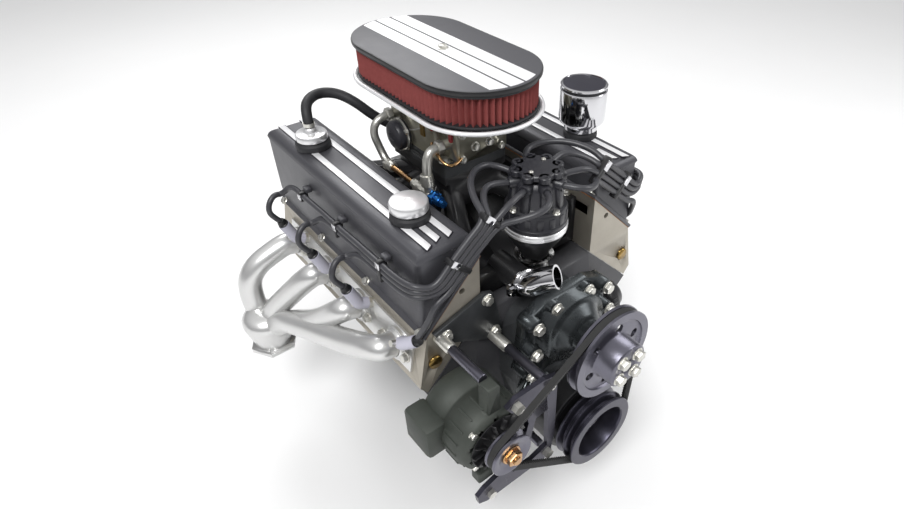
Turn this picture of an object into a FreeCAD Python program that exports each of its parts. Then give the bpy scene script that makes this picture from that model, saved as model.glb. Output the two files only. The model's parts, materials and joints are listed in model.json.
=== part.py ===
import FreeCAD, Part
import Sketcher
import math
import os

# A 90 degree V8 crate engine of the 351 cubic inch class, in millimetres.
# +Z is up, -Y is the front (belt drive), +X is the driver's side.
# The origin is on the crankshaft axis at the rear face of the block.

doc = FreeCAD.newDocument("V8Engine")
sheet = doc.addObject("Spreadsheet::Sheet", "dims")


class Size:
    """A length that knows its value and the sheet expression it comes from."""

    def __init__(self, value, text):
        self.value = float(value)
        self.text = text

    def __add__(self, other):
        other = as_size(other)
        return Size(self.value + other.value, "(%s + %s)" % (self.text, other.text))

    def __sub__(self, other):
        other = as_size(other)
        return Size(self.value - other.value, "(%s - %s)" % (self.text, other.text))

    def __mul__(self, other):
        other = as_size(other)
        return Size(self.value * other.value, "(%s * %s)" % (self.text, other.text))

    def __truediv__(self, other):
        other = as_size(other)
        return Size(self.value / other.value, "(%s / %s)" % (self.text, other.text))

    def __neg__(self):
        return Size(-self.value, "(0 - %s)" % self.text)

    def __radd__(self, other):
        return as_size(other) + self

    def __rsub__(self, other):
        return as_size(other) - self

    def __rmul__(self, other):
        return as_size(other) * self


def as_size(value):
    """A plain number becomes a Size whose expression is the number itself."""
    if isinstance(value, Size):
        return value
    return Size(value, "(%.6f)" % value if value < 0 else "%.6f" % value)


def dim(alias, value):
    """Write one driving dimension into the sheet and return it as a Size."""
    dim.row += 1
    sheet.set("A%d" % dim.row, alias)
    sheet.set("B%d" % dim.row, "%g" % value)
    sheet.setAlias("B%d" % dim.row, alias)
    return Size(value, "dims.%s" % alias)


dim.row = 0

# ---------------------------------------------------------------- block and heads
bank_angle = 45.0
block_length = dim("block_length", 486)
deck_height = dim("deck_height", 241.4)
bore_radius = dim("bore_radius", 50.8)
bore_spacing = dim("bore_spacing", 111.25)
bank_stagger = dim("bank_stagger", 22)
first_bore = dim("first_bore", 65)
block_half_width = dim("block_half_width", 118)
jacket_half_width = dim("jacket_half_width", 76)
crankcase_radius = dim("crankcase_radius", 96)
bulkhead_width = dim("bulkhead_width", 24)
main_radius = dim("main_radius", 38.1)
rod_journal_radius = dim("rod_journal_radius", 29.35)
crank_throw = dim("crank_throw", 44.45)
counterweight_radius = dim("counterweight_radius", 80)
running_fit = dim("running_fit", 0.05)
cam_height = dim("cam_height", 126)
cam_radius = dim("cam_radius", 26)
gasket_thickness = dim("gasket_thickness", 1.2)
rail_height = dim("rail_height", 317)
rail_inboard = dim("rail_inboard", 150)
rail_outboard = dim("rail_outboard", 13)
head_length = dim("head_length", 474)
cover_length = dim("cover_length", 458)
cover_top = dim("cover_top", 378)
cover_wall = dim("cover_wall", 4)
pan_depth = dim("pan_depth", 186)
pan_wall = dim("pan_wall", 2.5)
sump_start = dim("sump_start", 150)
seal_gap = dim("seal_gap", 0.6)
shank_radius = dim("shank_radius", 13)
flange_radius = dim("flange_radius", 50.8)
flange_gap = dim("flange_gap", 0.3)
# ---------------------------------------------------------------- belt drive
belt_plane = dim("belt_plane", 158)
belt_width = dim("belt_width", 10)
belt_gap = dim("belt_gap", 0.4)
pump_height = dim("pump_height", 189)
pump_pulley_radius = dim("pump_pulley_radius", 76.5)
crank_pulley_radius = dim("crank_pulley_radius", 69.5)
groove_depth = dim("groove_depth", 11)
alternator_out = dim("alternator_out", 196)
alternator_height = dim("alternator_height", 118)
alternator_radius = dim("alternator_radius", 62)
alternator_pulley_radius = dim("alternator_pulley_radius", 35)
alternator_length = dim("alternator_length", 112)
damper_radius = dim("damper_radius", 72)
# ---------------------------------------------------------------- top end
air_centre = dim("air_centre", 233.5)
lid_length = dim("lid_length", 358)
lid_width = dim("lid_width", 191)
lid_height = dim("lid_height", 534)
element_height = dim("element_height", 50)
lid_thickness = dim("lid_thickness", 8)
throttle_bore = dim("throttle_bore", 20)
carb_base = dim("carb_base", 362)
distributor_back = dim("distributor_back", 14)
distributor_cap_top = dim("distributor_cap_top", 428)
wire_radius = dim("wire_radius", 4.2)
header_radius = dim("header_radius", 20.5)
header_wall = dim("header_wall", 1.6)

front = -block_length
side_names = {1: "left", -1: "right"}
COS45 = math.sqrt(0.5)


# ---------------------------------------------------------------- building blocks
def bind(item, prop, size):
    """Set a property, and tie it to the sheet when the size comes from there."""
    size = as_size(size)
    setattr(item, prop, size.value)
    if "dims." in size.text:
        item.setExpression(prop, size.text)


def place(item, at=(0, 0, 0), turn=None):
    """Move an object; each coordinate may be tied to the sheet."""
    base = [as_size(value) for value in at]
    rotation = turn or FreeCAD.Rotation()
    item.Placement = FreeCAD.Placement(FreeCAD.Vector(*[b.value for b in base]), rotation)
    for axis, size in zip("xyz", base):
        if "dims." in size.text:
            item.setExpression("Placement.Base." + axis, size.text)
    return item


TURN = {
    "Z": FreeCAD.Rotation(),
    "Y": FreeCAD.Rotation(FreeCAD.Vector(1, 0, 0), -90),
    "-Y": FreeCAD.Rotation(FreeCAD.Vector(1, 0, 0), 90),
    "X": FreeCAD.Rotation(FreeCAD.Vector(0, 1, 0), 90),
    "-X": FreeCAD.Rotation(FreeCAD.Vector(0, 1, 0), -90),
    "-Z": FreeCAD.Rotation(FreeCAD.Vector(1, 0, 0), 180),
}


def turn_to(axis):
    """The rotation that carries +Z onto an axis name or a vector."""
    if isinstance(axis, str):
        return TURN[axis]
    return FreeCAD.Rotation(FreeCAD.Vector(0, 0, 1), FreeCAD.Vector(*axis))


def cylinder(radius, length, at, axis="Z", name="Cylinder"):
    item = doc.addObject("Part::Cylinder", name)
    bind(item, "Radius", radius)
    bind(item, "Height", length)
    return place(item, at, turn_to(axis))


def cone(radius1, radius2, length, at, axis="Z", name="Cone"):
    item = doc.addObject("Part::Cone", name)
    bind(item, "Radius1", radius1)
    bind(item, "Radius2", radius2)
    bind(item, "Height", length)
    return place(item, at, turn_to(axis))


def box(dx, dy, dz, at, turn=None, name="Box"):
    """A box from its lowest corner."""
    item = doc.addObject("Part::Box", name)
    bind(item, "Length", dx)
    bind(item, "Width", dy)
    bind(item, "Height", dz)
    return place(item, at, turn)


def centred_box(dx, dy, dz, at, name="Box"):
    """A box from the middle of its lower face."""
    x, y, z = at
    return box(dx, dy, dz, (x - as_size(dx) / 2, y - as_size(dy) / 2, z), name=name)


def hexagon(across_flats, length, at, axis="Z", name="Hexagon"):
    item = doc.addObject("Part::Prism", name)
    item.Polygon = 6
    bind(item, "Circumradius", as_size(across_flats) / math.sqrt(3))
    bind(item, "Height", length)
    return place(item, at, turn_to(axis))


def cut(base, tools, name="Cut"):
    item = doc.addObject("Part::Cut", name)
    item.Base = base
    item.Tool = tools[0] if len(tools) == 1 else fuse(tools)
    return item


def fuse(parts, name="Fuse"):
    item = doc.addObject("Part::MultiFuse", name)
    item.Shapes = parts
    return item


def fuse_in_turn(parts, name="Weld"):
    """Join pieces one after another, as a weldment is built up."""
    joined = parts[0]
    for piece in parts[1:]:
        step = doc.addObject("Part::Fuse", name)
        step.Base = joined
        step.Tool = piece
        joined = step
    return joined


def common(parts, name="Common"):
    item = doc.addObject("Part::MultiCommon", name)
    item.Shapes = parts
    return item


def group(parts, name="Group"):
    """Separate solids that share one node."""
    item = doc.addObject("Part::Compound", name)
    item.Links = parts
    return item


def sketch(body, plane, points, name="Profile"):
    """A closed outline whose every corner is held from the origin by the sheet."""
    item = body.newObject("Sketcher::SketchObject", name)
    support = [f for f in body.Origin.OriginFeatures if f.Role == plane][0]
    item.AttachmentSupport = [(support, "")]
    item.MapMode = "FlatFace"
    corners = [(as_size(x), as_size(y)) for x, y in points]
    count = len(corners)
    for i in range(count):
        here, there = corners[i], corners[(i + 1) % count]
        start = FreeCAD.Vector(here[0].value, here[1].value, 0)
        end = FreeCAD.Vector(there[0].value, there[1].value, 0)
        item.addGeometry(Part.LineSegment(start, end), False)
    for i in range(count):
        item.addConstraint(Sketcher.Constraint("Coincident", i, 2, (i + 1) % count, 1))
    for i, (x, y) in enumerate(corners):
        for kind, size in (("DistanceX", x), ("DistanceY", y)):
            index = item.addConstraint(Sketcher.Constraint(kind, -1, 1, i, 1, size.value))
            if "dims." in size.text:
                item.setExpression("Constraints[%d]" % index, size.text)
    return item


def padded(points, length, plane="XZ_Plane", at=(0, 0, 0), name="Casting", holes=()):
    """A PartDesign body: an outline padded along +Y (XZ), +Z (XY) or +X (YZ)."""
    body = doc.addObject("PartDesign::Body", name)
    pad = body.newObject("PartDesign::Pad", "Pad")
    pad.Profile = sketch(body, plane, points)
    pad.Reversed = plane == "XZ_Plane"
    bind(pad, "Length", length)
    for outline in holes:
        pocket = body.newObject("PartDesign::Pocket", "Pocket")
        pocket.Profile = sketch(body, plane, outline, "Window")
        pocket.Type = "ThroughAll"
        pocket.Midplane = True
    return place(body, at)


def turned(points, at=(0, 0, 0), axis="Z", name="Turned"):
    """A PartDesign body revolved about its own Z axis; points are (radius, height)."""
    body = doc.addObject("PartDesign::Body", name)
    revolution = body.newObject("PartDesign::Revolution", "Revolution")
    profile = sketch(body, "XZ_Plane", points)
    revolution.Profile = profile
    revolution.ReferenceAxis = (profile, ["V_Axis"])
    revolution.Angle = 360
    return place(body, at, turn_to(axis))


def shaped(shape, name="Shape"):
    """A free form that neither a body nor a primitive makes."""
    item = doc.addObject("Part::Feature", name)
    item.Shape = shape
    return item


def finish_edges(item, radius, wanted, name="Rounded"):
    """Round the edges that the test picks."""
    doc.recompute()
    picked = [i + 1 for i, edge in enumerate(item.Shape.Edges) if wanted(edge)]
    result = doc.addObject("Part::Fillet", name)
    result.Base = item
    result.Edges = [(i, radius, radius) for i in picked]
    return result


def tube_path(points, radius):
    """Straight runs joined by tangent arcs, as large as their two runs allow."""
    points = [FreeCAD.Vector(*p) for p in points]
    edges = []
    last = points[0]
    for i in range(1, len(points) - 1):
        before, corner, after = points[i - 1], points[i], points[i + 1]
        run_in, run_out = corner - before, after - corner
        turn = run_in.getAngle(run_out)
        reach = 0.45 * min(run_in.Length, run_out.Length)
        start = corner - run_in.normalize() * reach
        end = corner + run_out.normalize() * reach
        bend = reach / math.tan(turn / 2)
        tube_path.tightest = min(tube_path.tightest, bend / (2 * radius))
        chord = (start + end) * 0.5
        to_middle = chord - corner
        centre_distance = bend / math.cos(turn / 2)
        centre = corner + to_middle.normalize() * centre_distance
        middle = centre + (corner - centre).normalize() * bend
        edges.append(Part.LineSegment(last, start).toShape())
        edges.append(Part.Arc(start, middle, end).toShape())
        last = end
    edges.append(Part.LineSegment(last, points[-1]).toShape())
    return Part.Wire(edges)


tube_path.tightest = 1e9


def tube(points, radius, inner=0.0, name="Tube"):
    """A round tube along a path; its volume is compared with section times length."""
    path = tube_path(points, radius)
    start = path.Edges[0].Vertexes[0].Point
    along = path.Edges[0].tangentAt(path.Edges[0].FirstParameter)
    solid = path.makePipeShell([Part.Wire(Part.makeCircle(radius, start, along))], True, True)
    if inner:
        bore = path.makePipeShell([Part.Wire(Part.makeCircle(inner, start, along))], True, True)
        solid = solid.cut(bore)
    section = math.pi * (radius ** 2 - inner ** 2)
    drift = abs(solid.Volume / (section * path.Length) - 1)
    if drift > 0.02:
        raise RuntimeError("%s: tube volume is off by %.1f %%" % (name, drift * 100))
    return solid


def node(item, label):
    """Name a finished sub-part; its label is the node's name."""
    item.Label = label
    nodes.append(item)
    return item


nodes = []


def ahead(distance):
    """The Y of a plane so far in front of the block's front face."""
    return front - distance


def behind(distance):
    """The Y of a plane so far behind the block's front face."""
    return front + distance


def bank_point(side, height, across):
    """World X and Z of a point given along and across a bank's cylinder axis."""
    along = as_size(height)
    sideways = as_size(across)
    return (along + sideways) * (side * COS45), (along - sideways) * COS45


def cylinder_y(side, index):
    """The Y of a cylinder; the passenger bank stands forward of the other."""
    stagger = bank_stagger if side == 1 else as_size(0)
    return behind(first_bore + stagger + bore_spacing * index)


def main_y(index):
    """The Y of a main bearing's middle."""
    return behind(first_bore + bank_stagger / 2 + bore_spacing * (index - 0.5))


# ---------------------------------------------------------------- block and crank train
def mirrored_outline(points):
    """A closed outline from its right half, listed from the bottom up."""
    return list(points) + [(-as_size(x), z) for x, z in reversed(points)]


VALLEY_FLOOR = (58, 168)
WALL_FRONT = 41.5
WALL_REAR = 19.0
WALL_TOP = 222
DISTRIBUTOR_SEAT = 243
FILTER_REACH = 40
FILTER_TILT = math.radians(-35)


def filter_axis():
    """The oil filter stands out sideways and down from the driver's side of the block."""
    return (math.cos(FILTER_TILT), 0, math.sin(FILTER_TILT))


def filter_point(along):
    """A point on the filter's axis, so far out from the block's skirt."""
    ax, _, az = filter_axis()
    return (block_half_width + ax * along, behind(60), 24 + az * along)


def core_plug_place(side, d, inward):
    """A core plug's middle on the bank's outer wall, so far inside it."""
    x, z = bank_point(side, 176, jacket_half_width - inward)
    return (x, behind(d), z)


CORE_PLUG_PLACES = (110, 221, 332)
CORE_PLUG_RADIUS = 17


def make_block():
    """Block: 90 degree banks, valley, four crank bays between five bulkheads."""
    outline = mirrored_outline([
        (block_half_width, 0),
        (block_half_width, 26),
        bank_point(1, 132, jacket_half_width),
        bank_point(1, deck_height, jacket_half_width),
        bank_point(1, deck_height, -jacket_half_width),
        VALLEY_FLOOR,
    ])
    casting = padded(outline, block_length, at=(0, front, 0), name="BlockCasting")
    valley = mirrored_outline([(50, 150), (112, 150), (116.5, WALL_TOP)])
    walls = [padded(valley, WALL_FRONT, at=(0, front, 0), name="ValleyFrontWall"),
             padded(valley, WALL_REAR, at=(0, -WALL_REAR, 0), name="ValleyRearWall"),
             cylinder(24, 30, (0, behind(distributor_back), DISTRIBUTOR_SEAT - 30.1), "Z", "DistributorBoss"),
             cylinder(16, FILTER_REACH, filter_point(-6), filter_axis(), "FilterBoss")]
    casting = fuse([casting] + walls, "BlockWithWalls")
    holes = []
    bore_start = 95
    for side in (1, -1):
        for index in range(4):
            x, z = bank_point(side, bore_start, 0)
            depth = deck_height - bore_start + 1
            axis = (side * COS45, 0, COS45)
            holes.append(cylinder(bore_radius, depth, (x, cylinder_y(side, index), z), axis, "Bore"))
    for index in range(4):
        start = main_y(index) + bulkhead_width / 2
        length = bore_spacing - bulkhead_width
        holes.append(cylinder(crankcase_radius, length, (0, start, 0), "Y", "CrankBay"))
    holes.append(cylinder(main_radius + running_fit, block_length + 2, (0, front - 1, 0), "Y", "MainBore"))
    holes.append(cylinder(cam_radius + running_fit, block_length + 2, (0, front - 1, cam_height), "Y", "CamTunnel"))
    well = (0, behind(distributor_back), cam_height + 20)
    holes.append(cylinder(shank_radius + 0.1, 110, well, "Z", "DistributorBore"))
    for x in (-150, 150):
        side = 1 if x > 0 else -1
        pad_x, pad_z = bank_point(side, 172, jacket_half_width)
        for offset in (150, 250):
            axis = (-side * COS45, 0, COS45)
            at = (pad_x, behind(offset), pad_z)
            holes.append(cylinder(5.5, 18, at, axis, "MountHole"))
    for side in (1, -1):
        for d in CORE_PLUG_PLACES:
            at = core_plug_place(side, d, 4.1)
            holes.append(cylinder(CORE_PLUG_RADIUS + 0.05, 20, at, (side * COS45, 0, -COS45), "CorePlugSeat"))
    for x, z in bell_bolts():
        holes.append(cylinder(5.5, 20, (x, -20, z), "Y", "BellHole"))
    holes.append(cylinder(flange_radius + seal_gap, 3, (0, -2, 0), "Y", "FlangeRecess"))
    return node(cut(casting, holes, "Block"), "cylinder_block")


def bell_bolts():
    """Bell-housing bolt places on the rear face of the block."""
    right = [(100, 16), (150, 72), (168, 128)]
    return right + [(-x, z) for x, z in right]


def make_main_caps():
    """Five main bearing caps bolted under the bulkheads."""
    caps = []
    for index in range(5):
        y = main_y(index) - bulkhead_width / 2
        bar = box(150, bulkhead_width, 50, (-75, y, -50), name="CapBar")
        hole = cylinder(main_radius + running_fit, bulkhead_width + 2, (0, y - 1, 0), "Y", "CapBore")
        heads = [hexagon(19, 10, (x, main_y(index), -60), name="CapBolt") for x in (-56, 56)]
        caps.append(fuse([cut(bar, [hole], "Cap")] + heads, "CapAndBolts"))
    return node(group(caps, "MainCaps"), "main_bearing_caps")


throw_angles = [135, 45, 225, 315]
CRANK_WEB = 15


def make_crankshaft():
    """Cross-plane crankshaft: five mains, four throws with counterweights, rear flange."""
    parts = []
    for index in range(5):
        at = (0, main_y(index) - bulkhead_width / 2 - 0.2, 0)
        parts.append(cylinder(main_radius, bulkhead_width + 0.4, at, "Y", "MainJournal"))
    for index, angle in enumerate(throw_angles):
        turn = math.radians(angle)
        x, z = crank_throw * math.cos(turn), crank_throw * math.sin(turn)
        start = main_y(index) + bulkhead_width / 2 + 0.2
        end = main_y(index + 1) - bulkhead_width / 2 - 0.2
        parts.append(cylinder(rod_journal_radius, end - start, (x, start, z), "Y", "RodJournal"))
        spin = FreeCAD.Rotation(FreeCAD.Vector(0, 1, 0), 90 - angle)
        for y in (start, end - CRANK_WEB):
            disc = cylinder(counterweight_radius, CRANK_WEB, (0, y, 0), "Y", "Counterweight")
            slab = padded(
                [(-34, 46 + 30), (34, 46 + 30), (46, 0), (84, -20), (84, -84), (-84, -84), (-84, -20), (-46, 0)],
                CRANK_WEB, name="WebOutline")
            place(slab, (0, y, 0), spin)
            parts.append(common([disc, slab], "Web"))
    rear = main_y(4) + bulkhead_width / 2
    parts.append(cylinder(main_radius, -rear + 1, (0, rear, 0), "Y", "RearSeal"))
    parts.append(cylinder(flange_radius, as_size(11) - flange_gap, (0, flange_gap, 0), "Y", "RearFlange"))
    nose = ahead(belt_plane - 30)
    parts.append(cylinder(main_radius, main_y(0) - front, (0, front, 0), "Y", "FrontJournal"))
    parts.append(cylinder(20, front - nose, (0, nose, 0), "Y", "Snout"))
    sprocket = cylinder(36, 14, (0, ahead(20), 0), "Y", "SprocketRim")
    parts.append(sprocket)
    pilot = cylinder(17.5, 32, (0, -20, 0), "Y", "PilotBore")
    holes = [pilot]
    for index in range(6):
        turn = math.radians(60 * index)
        at = (38.1 * math.cos(turn), 0.8, 38.1 * math.sin(turn))
        holes.append(cylinder(5.5, 12, at, "Y", "FlangeHole"))
    return node(cut(fuse(parts, "CrankParts"), holes, "Crank"), "crankshaft")


def make_camshaft():
    """Camshaft: five journals, sixteen lobes, front flange."""
    core = 15
    parts = [cylinder(core, block_length - 24, (0, front + 1, cam_height), "Y", "CamCore")]
    for index in range(5):
        at = (0, main_y(index) - 10, cam_height)
        parts.append(cylinder(cam_radius, 20, at, "Y", "CamJournal"))
    for index in range(16):
        bay, slot = divmod(index, 4)
        y = main_y(bay) + 22 + slot * 19
        turn = math.radians(90 * index + 25 * bay)
        lift = 7
        at = (lift * math.cos(turn), y, cam_height + lift * math.sin(turn))
        parts.append(cylinder(16.5, 12, at, "Y", "Lobe"))
    parts.append(cylinder(23, 14, (0, ahead(13), cam_height), "Y", "CamNose"))
    return node(fuse(parts, "Cam"), "camshaft")


SPROCKET_PLANE = 13


def toothed_disc(radius, tooth_count, length, at, bore, name):
    """A sprocket blank with its teeth as a ring of small trapezoids round a rim."""
    points = []
    for index in range(tooth_count):
        for share, reach in ((-0.36, -4.0), (-0.16, 0), (0.16, 0), (0.36, -4.0)):
            turn = 2 * math.pi * (index + share) / tooth_count
            points.append(FreeCAD.Vector((radius + reach) * math.cos(turn), 0, (radius + reach) * math.sin(turn)))
    face = Part.Face(Part.makePolygon(points + [points[0]]))
    solid = face.extrude(FreeCAD.Vector(0, length, 0))
    solid = solid.cut(Part.makeCylinder(bore, length + 2, FreeCAD.Vector(0, -1, 0), FreeCAD.Vector(0, 1, 0)))
    for index in range(6):
        turn = 2 * math.pi * index / 6
        middle = (radius + bore) / 2
        hole = Part.makeCylinder(7, length + 2, FreeCAD.Vector(middle * math.cos(turn), -1, middle * math.sin(turn)),
                                 FreeCAD.Vector(0, 1, 0))
        solid = solid.cut(hole)
    item = shaped(solid, name)
    return place(item, at)


def make_timing_set():
    """Cam sprocket and the chain that stands round both sprockets."""
    cam_sprocket_radius = 66
    crank_sprocket_radius = 36
    disc = toothed_disc(cam_sprocket_radius, 42, 10, (0, ahead(18), cam_height), 23.02, "CamSprocket")
    node(disc, "cam_sprocket")
    gap = 0.5
    outer = hull_ring([(0, 0, crank_sprocket_radius + 6), (0, cam_height.value, cam_sprocket_radius + 6)])
    inner = hull_ring([(0, 0, crank_sprocket_radius + gap), (0, cam_height.value, cam_sprocket_radius + gap)])
    band = Part.Face(outer).extrude(FreeCAD.Vector(0, 11, 0)).cut(Part.Face(inner).extrude(FreeCAD.Vector(0, 11, 0)))
    chain = shaped(band, "Chain")
    node(place(chain, (0, ahead(18.5), 0)), "timing_chain")


def hull_ring(circles):
    """The closed belt line round circles (x, z, radius), listed anticlockwise."""
    edges = []
    count = len(circles)
    arcs = []
    for i in range(count):
        x1, z1, r1 = circles[i]
        x2, z2, r2 = circles[(i + 1) % count]
        dx, dz = x2 - x1, z2 - z1
        distance = math.hypot(dx, dz)
        heading = math.atan2(dz, dx)
        lean = math.acos((r1 - r2) / distance)
        normal = heading - lean
        p1 = FreeCAD.Vector(x1 + r1 * math.cos(normal), 0, z1 + r1 * math.sin(normal))
        p2 = FreeCAD.Vector(x2 + r2 * math.cos(normal), 0, z2 + r2 * math.sin(normal))
        arcs.append((normal, p1, p2))
    for i in range(count):
        normal, p1, p2 = arcs[i]
        edges.append(Part.LineSegment(p1, p2).toShape())
        x, z, r = circles[(i + 1) % count]
        next_normal = arcs[(i + 1) % count][0]
        while next_normal < normal:
            next_normal += 2 * math.pi
        middle = (normal + next_normal) / 2
        via = FreeCAD.Vector(x + r * math.cos(middle), 0, z + r * math.sin(middle))
        edges.append(Part.Arc(p2, via, arcs[(i + 1) % count][1]).toShape())
    return Part.Wire(edges)


COVER_DEPTH = 46


def make_timing_cover():
    """Timing cover: a dished casting over the sprockets with a hole for the snout."""
    outline = mirrored_outline([(44, -50), (62, -22), (82, 70), (84, 170), (54, 212)])
    cavity = mirrored_outline([(39, -45), (56, -20), (78, 72), (80, 168), (50, 208)])
    shell = padded(outline, COVER_DEPTH, at=(0, ahead(COVER_DEPTH), 0), name="CoverCasting")
    hollow = padded(cavity, COVER_DEPTH - 6, at=(0, ahead(COVER_DEPTH - 6), 0), name="CoverHollow")
    snout = cylinder(31, 20, (0, ahead(COVER_DEPTH + 8), 0), "Y", "SealHole")
    boss = cylinder(42, 6, (0, ahead(COVER_DEPTH + 6), 0), "Y", "SealBoss")
    cover = cut(fuse([cut(shell, [hollow], "Dish"), boss], "CoverBoss"), [snout], "TimingCover")
    return node(cover, "timing_cover")


def make_pan():
    """Oil pan: pressed rail, shallow front and deep rear sump, open at the top."""
    def tray(half_width, length_front, drop, inset, top):
        side = [
            (front + inset, top),
            (0 - inset, top),
            (0 - inset, -pan_depth + inset),
            (front + length_front, -pan_depth + inset),
            (front + length_front - 60, -as_size(drop) + inset),
            (front + inset, -as_size(drop) + inset),
        ]
        return padded(side, half_width * 2, plane="YZ_Plane", at=(-half_width, 0, 0), name="Tray")

    outside = tray(as_size(106), sump_start, 92, as_size(0), as_size(-0.8))
    inside = tray(as_size(106) - pan_wall, sump_start, 92, pan_wall, as_size(1))
    rail = box(block_half_width * 2, block_length, 3, (-block_half_width, front, -3.8), name="PanRail")
    void = box(190, block_length - 20, 20, (-95, front + 10, -10), name="RailWindow")
    seal = cylinder(main_radius + seal_gap, block_length + 2, (0, front - 1, 0), "Y", "SealRoom")
    pan = cut(fuse([outside, rail], "PanOutside"), [inside, void, seal], "PanShell")
    plug = hexagon(22, 9, (0, -0.1, -pan_depth + 30), "Y", "DrainPlug")
    return node(fuse([pan, plug], "Pan"), "oil_pan")


def make_heads():
    """Two cylinder heads with exhaust, intake and plug openings and a rocker trough."""
    start = behind(1)
    for side in (1, -1):
        outline = [
            bank_point(side, deck_height + gasket_thickness, -(jacket_half_width - 1)),
            bank_point(side, deck_height + gasket_thickness, jacket_half_width - 2),
            (side * 235.5, 136),
            (side * 216.0, 229),
            bank_point(side, rail_height - 1, rail_outboard * -1),
            bank_point(side, rail_height - 1, -rail_inboard),
        ]
        casting = padded(outline, head_length, at=(0, start, 0), name="HeadCasting")
        trough = [
            bank_point(side, rail_height + 1, -(rail_outboard + 10)),
            bank_point(side, rail_height - 26, -(rail_outboard + 16)),
            bank_point(side, rail_height - 26, -(rail_inboard - 16)),
            bank_point(side, rail_height + 1, -(rail_inboard - 10)),
        ]
        tools = [padded(trough, head_length - 28, at=(0, start + 14, 0), name="RockerTrough")]
        for index in range(4):
            y = cylinder_y(-1, index) + port_shift(side)
            tools.append(cylinder(16, 30, port_start(side, y, 28), port_axis(side), "ExhaustPort"))
            tools.append(cylinder(6.9, 40, plug_seat(side, y, 30), plug_axis(side), "PlugHole"))
        tools.append(cylinder(5, 16, (side * 150, start - 1, 286), "Y", "EndHole"))
        tools.append(cylinder(END_PLUG[2] + 0.05, 2.1, (side * END_PLUG[0], start - 1, END_PLUG[1]), "Y", "EndPlugSeat"))
        node(cut(casting, tools, "Head"), "cylinder_head_" + side_names[side])


def port_shift(side):
    """Ports and plugs sit on their cylinders, staggered between the banks."""
    return bank_stagger if side == 1 else as_size(0)


END_PLUG = (206, 178, 11)
PORT_TILT = math.atan2(19.5, 93)
PORT_X = 225.75
PORT_Z = 182.5


def port_axis(side):
    return (side * math.cos(PORT_TILT), 0, math.sin(PORT_TILT))


def port_start(side, y, inward):
    """A point on an exhaust port's axis, so far inside the exhaust face."""
    dx, _, dz = port_axis(side)
    return (side * PORT_X - dx * inward, y, PORT_Z - dz * inward)


PLUG_TILT = math.radians(26)
PLUG_AHEAD = 28


def plug_axis(side):
    """The plug's outward direction: outboard and up."""
    return (side * math.cos(PLUG_TILT), 0, math.sin(PLUG_TILT))


def plug_seat(side, y, inward):
    """A point on a spark plug's axis, so far inside its seat."""
    dx, _, dz = plug_axis(side)
    return (side * 221 - dx * inward, y - PLUG_AHEAD, 203 - dz * inward)


def make_pistons():
    """Eight pistons standing at mid stroke, each with ring grooves and a hollow skirt."""
    pistons = []
    crown = deck_height - 44
    radius = bore_radius - 0.3
    for side in (1, -1):
        for index in range(4):
            profile = [
                (0, 46), (radius - 6, 46), (radius - 6, 0), (radius, 0), (radius, 40), (radius - 3, 40), (radius - 3, 42),
                (radius, 42), (radius, 46), (radius - 3, 46), (radius - 3, 48), (radius, 48), (radius, 55), (0, 55),
            ]
            x, z = bank_point(side, crown - 55, 0)
            at = (x, cylinder_y(side, index), z)
            pistons.append(turned(profile, at, (side * COS45, 0, COS45), "Piston"))
    return node(group(pistons, "Pistons"), "pistons")


def make_head_gaskets():
    """Two head gaskets with their cylinder holes."""
    sheets = []
    for side in (1, -1):
        outline = [
            bank_point(side, deck_height, -(jacket_half_width - 1)),
            bank_point(side, deck_height, jacket_half_width - 2),
            bank_point(side, deck_height + gasket_thickness, jacket_half_width - 2),
            bank_point(side, deck_height + gasket_thickness, -(jacket_half_width - 1)),
        ]
        sheet_body = padded(outline, block_length - 12, at=(0, front + 6, 0), name="GasketSheet")
        x, z = bank_point(side, deck_height - 1, 0)
        axis = (side * COS45, 0, COS45)
        holes = [cylinder(bore_radius + 1, 4, (x, cylinder_y(side, i), z), axis, "FireRing") for i in range(4)]
        sheets.append(cut(sheet_body, holes, "Gasket"))
    return node(group(sheets, "HeadGaskets"), "head_gaskets")


COVER_START = 4
STRIPE_RISE = 1.0


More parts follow.
